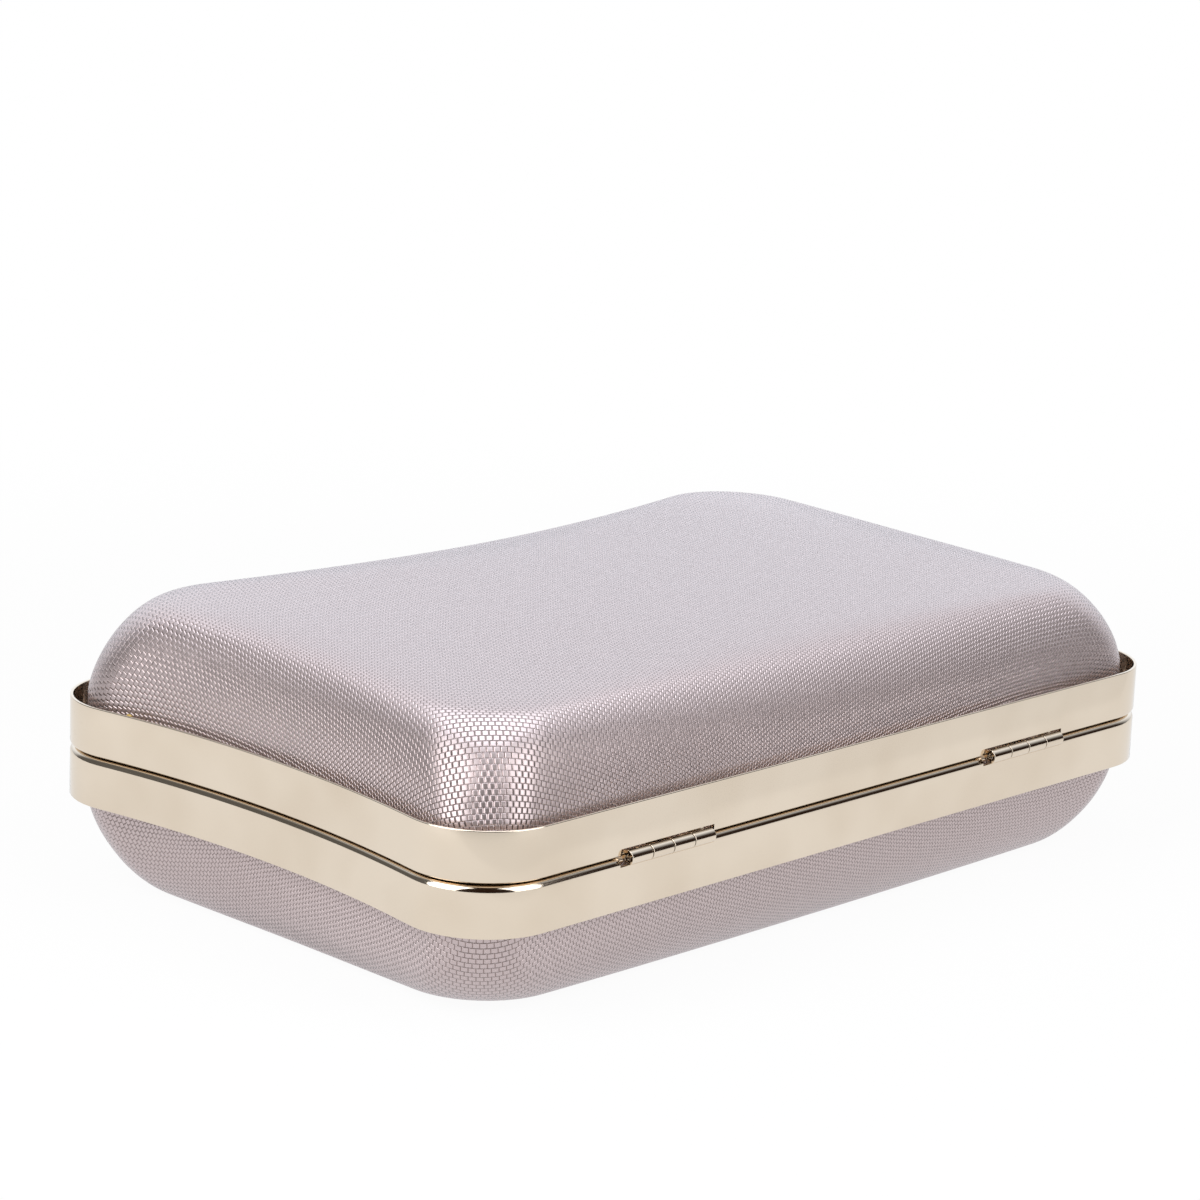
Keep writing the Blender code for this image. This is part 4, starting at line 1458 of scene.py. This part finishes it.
@dataclass
class SlipPocket:
    """Pocket sewn to the lid's lining on three sides, with a taped mouth that hangs a little open."""

    form: CaseForm
    finishes: Finishes
    wall: float
    length: float = 104.0 * MM
    back: float = 34.0 * MM
    mouth: float = 22.0 * MM
    depth: float = 7.0 * MM
    cloth: float = 0.8 * MM
    tape_width: float = 1.8 * MM
    tape_proud: float = 0.45 * MM
    tape_steps: int = 64
    seam_drop: float = 0.35 * MM
    pucker: float = 0.25 * MM
    pucker_turns: float = 20.0
    columns: int = 72
    rows: int = 36
    stitches: int = 48
    stitch_radius: float = 0.14 * MM
    stitch_edge: float = 0.06 * MM
    stitch_share: float = 0.33
    stitch_line_share: float = 0.45
    smooth_angle: float = 60.0
    cut: tuple[float, float] = (107 * MM, 57 * MM)

    def ceiling(self, x: float, y: float) -> float:
        """Height of the lining's inner face over the seam."""
        top = self.form.band_height + self.form.dome_height - self.wall
        return top + self.form.crown(Half.LID, x, y)

    def drop(self, across: float, along: float) -> float:
        """Distance of the cloth under the lining.

        Args:
            across: Place along the mouth, from -1 to 1.
            along: Place from the back seam, 0, to the mouth, 1.

        Returns:
            The distance, which is smallest at the three sewn sides.
        """
        bulge = (1 - abs(across) ** 6) * min(1.0, 1 - (1 - along) ** 3)
        pucker = self.pucker * sin(self.pucker_turns * across) * along * (1 - abs(across) ** 4)
        return self.seam_drop + (self.depth - self.cloth - self.seam_drop + pucker) * bulge

    def at(self, across: float, along: float, lower: float = 0.0) -> Vector:
        """Point on the cloth's upper face, or lower by a distance."""
        x = across * self.length / 2
        y = self.back - along * (self.back + self.mouth)
        height = self.ceiling(x, y) - self.drop(across, along) - lower
        return self.form.at(Half.LID, x, y, height)

    def panel(self) -> bpy.types.Object:
        """Model the pocket's cloth: a grid that hangs from its seams, given its thickness."""
        bpy.ops.object.select_all(action="DESELECT")
        bpy.ops.mesh.primitive_grid_add(x_subdivisions=self.columns, y_subdivisions=self.rows, size=2)
        piece = settle(bpy.context.active_object, "slip_pocket_cloth")
        flat = cloth_map(piece)
        depth = self.back + self.mouth
        for loop in piece.data.loops:
            place = piece.data.vertices[loop.vertex_index].co
            flat.data[loop.index].uv = (place.x * self.length / 2 / MM, place.y * depth / 2 / MM)
        for vertex in piece.data.vertices:
            vertex.co = self.at(vertex.co.x, (1 - vertex.co.y) / 2)
        bpy.ops.object.mode_set(mode="EDIT")
        bpy.ops.mesh.select_all(action="SELECT")
        bpy.ops.mesh.normals_make_consistent(inside=False)
        bpy.ops.object.mode_set(mode="OBJECT")
        up = piece.data.polygons[0].normal.z > 0
        modify(piece, "SOLIDIFY", thickness=self.cloth, offset=-1.0 if up else 1.0)
        soften(piece, self.smooth_angle)
        dress(piece, self.finishes.lining, Half.LID.value, "lining", "slip_pocket")
        return piece

    def tape(self) -> bpy.types.Object:
        """Model the satin tape that is folded over the mouth's edge."""
        corners = [pi / 4 + pi / 2 * i for i in range(4)]
        angles = [c + t for c in corners for t in (-0.55, -0.2, 0.2, 0.55)]
        half_y = self.tape_width / 2
        half_z = self.cloth / 2 + self.tape_proud
        reach = self.columns / (self.columns + 1)
        rings = []
        for step in range(self.tape_steps + 1):
            across = (2 * step / self.tape_steps - 1) * reach
            middle = self.at(across, 1.0, self.cloth / 2)
            ring = []
            for angle in angles:
                offset_y = half_y * max(-1.0, min(1.0, 1.45 * cos(angle)))
                offset_z = half_z * max(-1.0, min(1.0, 1.45 * sin(angle)))
                outwards = Vector((0, offset_y - half_y - self.form.seat_gap, offset_z))
                ring.append(middle + outwards)
            rings.append(ring)
        loft = Loft("pocket_mouth_tape", rings[0])
        for ring in rings[1:]:
            loft.extend(ring)
        loft.end_at(sum(rings[-1], Vector()) / len(angles))
        loft.pick(0)
        loft.end_at(sum(rings[0], Vector()) / len(angles))
        piece = loft.finish(self.smooth_angle)
        flat = cloth_map(piece)
        for loop in piece.data.loops:
            place = piece.data.vertices[loop.vertex_index].co
            flat.data[loop.index].uv = (place.x / MM, (place.y + place.z) / MM)
        dress(piece, self.finishes.binding, Half.LID.value, "binding", "pocket_binding")
        return piece

    def stitching(self) -> bpy.types.Object:
        """Model the row of stitches along the tape: one stitch, copied, each with its own mesh."""
        pitch = self.length / self.stitches
        made = []
        for number in range(self.stitches - 1):
            across = 2 * (number + 1) / self.stitches - 1
            middle = self.at(across, 1.0, self.cloth + self.tape_proud)
            middle.y -= self.tape_width * self.stitch_line_share
            ends = Vector((self.stitch_share * pitch, 0, 0))
            made.append(rod("stitch", middle - ends, middle + ends, self.stitch_radius, 8))
        bpy.ops.object.select_all(action="DESELECT")
        for stitch in made:
            stitch.select_set(True)
        bpy.context.view_layer.objects.active = made[0]
        bpy.ops.object.join()
        piece = bpy.context.active_object
        piece.name = "pocket_stitching"
        modify(piece, "BEVEL", width=self.stitch_edge, segments=2, limit_method="ANGLE")
        soften(piece, self.smooth_angle)
        dress(piece, self.finishes.thread, Half.LID.value, "binding")
        return piece

    def build(self) -> None:
        """Model and dress the pocket, its tape and its stitches."""
        cloth = self.panel()
        trim = [self.tape(), self.stitching()]


@dataclass
class DriedGlue:
    """Beads of glue that squeezed out between the lid's band and its cover, near the front corner."""

    form: CaseForm
    finishes: Finishes
    places: tuple[tuple[float, float], ...] = ((-37.0 * MM, 0.55 * MM), (-50.0 * MM, 0.4 * MM))
    inset: float = 0.3 * MM
    shape: tuple[float, float, float] = (0.7, 1.5, 0.8)
    lump: float = 0.4 * MM
    lump_share: float = 0.35
    smooth_angle: float = 80.0

    def build(self) -> None:
        """Model the beads: flattened balls on the band's inner edge."""
        outline = self.form.frame_outline(self.form.sheet + self.inset)
        for number, (y, radius) in enumerate(self.places, 1):
            right = [point for point in outline if point[0] > 0]
            x, at_y = min(right, key=lambda point: abs(point[1] - y))
            place = self.form.at(Half.LID, x, at_y, self.form.band_height - radius / 2)
            bpy.ops.object.select_all(action="DESELECT")
            bpy.ops.mesh.primitive_ico_sphere_add(subdivisions=3, radius=radius, location=place)
            piece = bpy.context.active_object
            piece.scale = self.shape
            settle(piece, f"glue_bead_{number}")
            for vertex in piece.data.vertices:
                swelling = self.lump_share * noise.noise(vertex.co / self.lump)
                vertex.co += (vertex.co - place) * swelling
            soften(piece, self.smooth_angle)
            dress(piece, self.finishes.glue, Half.LID.value, "lining")


@dataclass(frozen=True)
class Viewpoint:
    """Camera that the case's edges in the photograph give, for a square image."""

    azimuth: float = 133.85
    elevation: float = 14.07
    roll: float = 2.34
    distance: float = 780.8 * MM
    target: tuple[float, float, float] = (7.3 * MM, -0.925 * MM, 55.7 * MM)
    focal_px: float = 3881.4
    image_px: float = 1200.0
    sensor_mm: float = 36.0
    clip: tuple[float, float] = (10 * MM, 20.0)

    def build(self) -> bpy.types.Object:
        """Make the camera and set it as the scene's."""
        roll = radians(self.roll)
        back = direction(self.azimuth, self.elevation)
        right = (-back).cross(Vector((0, 0, 1))).normalized()
        up = right.cross(-back)
        image_x = cos(roll) * right + sin(roll) * up
        image_y = cos(roll) * up - sin(roll) * right
        data = bpy.data.cameras.new("camera")
        data.sensor_width = self.sensor_mm
        data.lens = self.focal_px / self.image_px * self.sensor_mm
        data.clip_start, data.clip_end = self.clip
        camera = bpy.data.objects.new("camera", data)
        bpy.context.scene.collection.objects.link(camera)
        turn = Matrix((image_x, image_y, back)).transposed().to_4x4()
        camera.matrix_world = Matrix.Translation(Vector(self.target) + back * self.distance) @ turn
        bpy.context.scene.camera = camera
        return camera


@dataclass(frozen=True)
class Softbox:
    """Upright lamp panel that looks at the case from a direction, in degrees, metres and watts."""

    name: str
    azimuth: float
    elevation: float
    width: float
    height: float
    power: float
    distance: float = 0.6
    colour: str = "#f5f9ff"

    def build(self) -> None:
        """Make the lamp."""
        back = direction(self.azimuth, self.elevation)
        data = bpy.data.lights.new(self.name, "AREA")
        data.shape = "RECTANGLE"
        data.size = self.width
        data.size_y = self.height
        data.energy = self.power
        data.color = linear(self.colour)[:3]
        lamp = bpy.data.objects.new(self.name, data)
        bpy.context.scene.collection.objects.link(lamp)
        lamp.location = back * self.distance
        lamp.rotation_mode = "QUATERNION"
        lamp.rotation_quaternion = back.to_track_quat("Z", "Y")


@dataclass(frozen=True)
class GlowRegion:
    """Part of the room that gloss mirrors: from no glow at its edge to its full glow.

    The edge and the full share are cosines of the angle from the region's direction.
    """

    azimuth: float
    elevation: float
    edge_share: float
    full_share: float
    glow: float
    tint: tuple[float, float, float] = (0.95, 1.03, 1.14)

    def mix(self, tree: bpy.types.NodeTree, place: Any, seen: Any) -> bpy.types.NodeSocket:
        """Lay the region over what is seen so far.

        Args:
            tree: Node tree of the world.
            place: Socket that gives the ray's direction.
            seen: Colour or socket of the room so far.

        Returns:
            The colour with this region in it.
        """
        towards = direction(self.azimuth, self.elevation)
        near = add(tree, "VectorMath", {0: place, 1: towards}, operation="DOT_PRODUCT")
        span = {"From Min": self.edge_share, "From Max": self.full_share}
        share = add(
            tree, "MapRange", {"Value": near.outputs["Value"], **span}, interpolation_type="SMOOTHSTEP"
        )
        colour = [self.glow * part for part in self.tint] + [1]
        mix = add(tree, "Mix", {0: share, 6: seen, 7: colour}, data_type="RGBA")
        return mix.outputs[2]


@dataclass(frozen=True)
class Studio:
    """Still-life studio: white paper, two lamp panels, and a dim warm room that only gloss mirrors.

    Of the room, gloss sees a white wall behind the case, a dark place beside it, which draws the dark
    seam in the left end, and a soft panel right overhead.
    """

    camera: Viewpoint = Viewpoint()
    panels: tuple[Softbox, ...] = (
        Softbox("left_panel", azimuth=86.0, elevation=33.0, width=0.42, height=0.66, power=2.9),
        Softbox("right_panel", azimuth=189.0, elevation=33.0, width=0.42, height=0.66, power=2.4),
    )
    white_wall: GlowRegion = GlowRegion(
        azimuth=313.85, elevation=32.0, edge_share=0.28, full_share=0.92, glow=1.17
    )
    dark_place: GlowRegion = GlowRegion(
        azimuth=46.0, elevation=18.0, edge_share=0.78, full_share=0.95, glow=0.12, tint=(1.0, 1.0, 1.0)
    )
    overhead_panel: GlowRegion = GlowRegion(
        azimuth=313.85, elevation=75.0, edge_share=0.86, full_share=0.96, glow=3.2
    )
    room: str = "#2a1c14"
    ambient: float = 0.45
    floor_size: float = 6.0
    paper: str = "#f1efee"
    paper_roughness: float = 0.9
    paper_glow: float = 0.94
    glow_from: float = 0.12
    glow_to: float = 0.45
    mirrored: str = "#f6faff"
    mirrored_share: float = 0.8
    mirrored_glow: float = 1.02
    # Painted shade: the paper's glow behind the case, as gloss sees it.
    painted_shade_glow: float = 0.94
    shade_from: float = 0.135
    shade_to: float = 0.16

    def floor(self) -> None:
        """Make the paper: white to the camera away from the case, and under it as it is lit."""
        bpy.ops.object.select_all(action="DESELECT")
        bpy.ops.mesh.primitive_plane_add(size=self.floor_size)
        piece = settle(bpy.context.active_object, "studio_paper")
        material, tree, shader = new_tree("white background paper")
        surface = {
            "Base Color": linear(self.paper),
            "Roughness": self.paper_roughness,
            "Specular IOR Level": 0.0,
        }
        wire(tree, shader, surface)
        path = add(tree, "LightPath", {}).outputs
        place = add(tree, "TexCoord", {}).outputs["Object"]
        apart = add(tree, "VectorMath", {0: place}, operation="LENGTH")
        span = {"From Min": self.glow_from, "From Max": self.glow_to, "To Min": self.paper_glow}
        spread = add(
            tree, "MapRange", {"Value": apart.outputs["Value"], **span}, interpolation_type="SMOOTHSTEP"
        )
        mirrored = add(
            tree, "Math", {0: path["Is Glossy Ray"], 1: self.mirrored_share}, operation="MULTIPLY"
        )
        # Painted shade in the paper's glow: gloss sees the paper behind the case
        # a little darker than the paper in front.
        split = add(tree, "SeparateXYZ", {0: place})
        span = {"From Min": self.shade_from, "From Max": self.shade_to, "To Min": self.mirrored_glow}
        shade = add(
            tree,
            "MapRange",
            {"Value": split.outputs["Y"], "To Max": self.painted_shade_glow, **span},
            interpolation_type="SMOOTHSTEP",
        )
        strength = add(
            tree, "MapRange", {"Value": path["Is Glossy Ray"], "To Min": 1.0, "To Max": shade}
        )
        share = add(
            tree, "Math", {0: path["Is Camera Ray"], 1: spread, 2: mirrored}, operation="MULTIPLY_ADD"
        )
        tint = add(
            tree,
            "Mix",
            {0: path["Is Glossy Ray"], 6: (1, 1, 1, 1), 7: linear(self.mirrored)},
            data_type="RGBA",
        )
        glow = add(tree, "Emission", {"Color": tint.outputs[2], "Strength": strength})
        mix = add(tree, "MixShader", {0: share, 1: shader, 2: glow})
        wire(tree, tree.nodes["Material Output"], {"Surface": mix})
        material.cycles.emission_sampling = "NONE"
        piece.data.materials.append(material)

    def world(self) -> None:
        """Make the world: white to the camera, even as light, and the room to gloss."""
        world = bpy.data.worlds.new("studio_room")
        world.use_nodes = True
        tree = world.node_tree
        path = add(tree, "LightPath", {}).outputs
        place = add(tree, "TexCoord", {}).outputs["Generated"]
        seen = linear(self.room)
        for region in (self.white_wall, self.dark_place, self.overhead_panel):
            seen = region.mix(tree, place, seen)
        even = (self.ambient, self.ambient, self.ambient, 1)
        light = add(tree, "Mix", {0: path["Is Glossy Ray"], 6: even, 7: seen}, data_type="RGBA")
        shown = add(
            tree,
            "Mix",
            {0: path["Is Camera Ray"], 6: light.outputs[2], 7: (1, 1, 1, 1)},
            data_type="RGBA",
        )
        wire(tree, tree.nodes["Background"], {"Color": shown.outputs[2]})
        world.cycles.sampling_method = "NONE"
        bpy.context.scene.world = world

    def build(self) -> None:
        """Make camera, floor, world and lamps."""
        bpy.context.scene.view_settings.view_transform = "Standard"
        self.camera.build()
        self.floor()
        self.world()
        for panel in self.panels:
            panel.build()


def main() -> None:
    """Dress the clutch, piece by piece, and set up the studio."""
    logging.basicConfig(level=logging.INFO, format="%(name)s: %(message)s")
    form = CaseForm()
    finishes = Finishes.make()
    Studio().build()
    lips = {Half.LID: 0.8 * MM, Half.BASE: 1.4 * MM}
    halves = {half: CoveredHalf(form, finishes, half) for half in Half}
    for covered in halves.values():
        covered.build()
    hinges = [BoxHinge(form, finishes, side, max(lips.values())) for side in Side]
    clasp = PressClasp(form, finishes)
    for half in Half:
        cutters = [tool for hinge in hinges for tool in hinge.cutters()]
        cutters.append(clasp.hook_slot())
        if half is Half.LID:
            cutters.append(clasp.button_hole())
        BentFrame(form, finishes, half, lips[half]).build(cutters)
    for hinge in hinges:
        hinge.build()
    clasp.build()
    SlipPocket(form, finishes, wall=halves[Half.LID].inner_depth).build()
    DriedGlue(form, finishes).build()


if __name__ == "__main__":
    main()
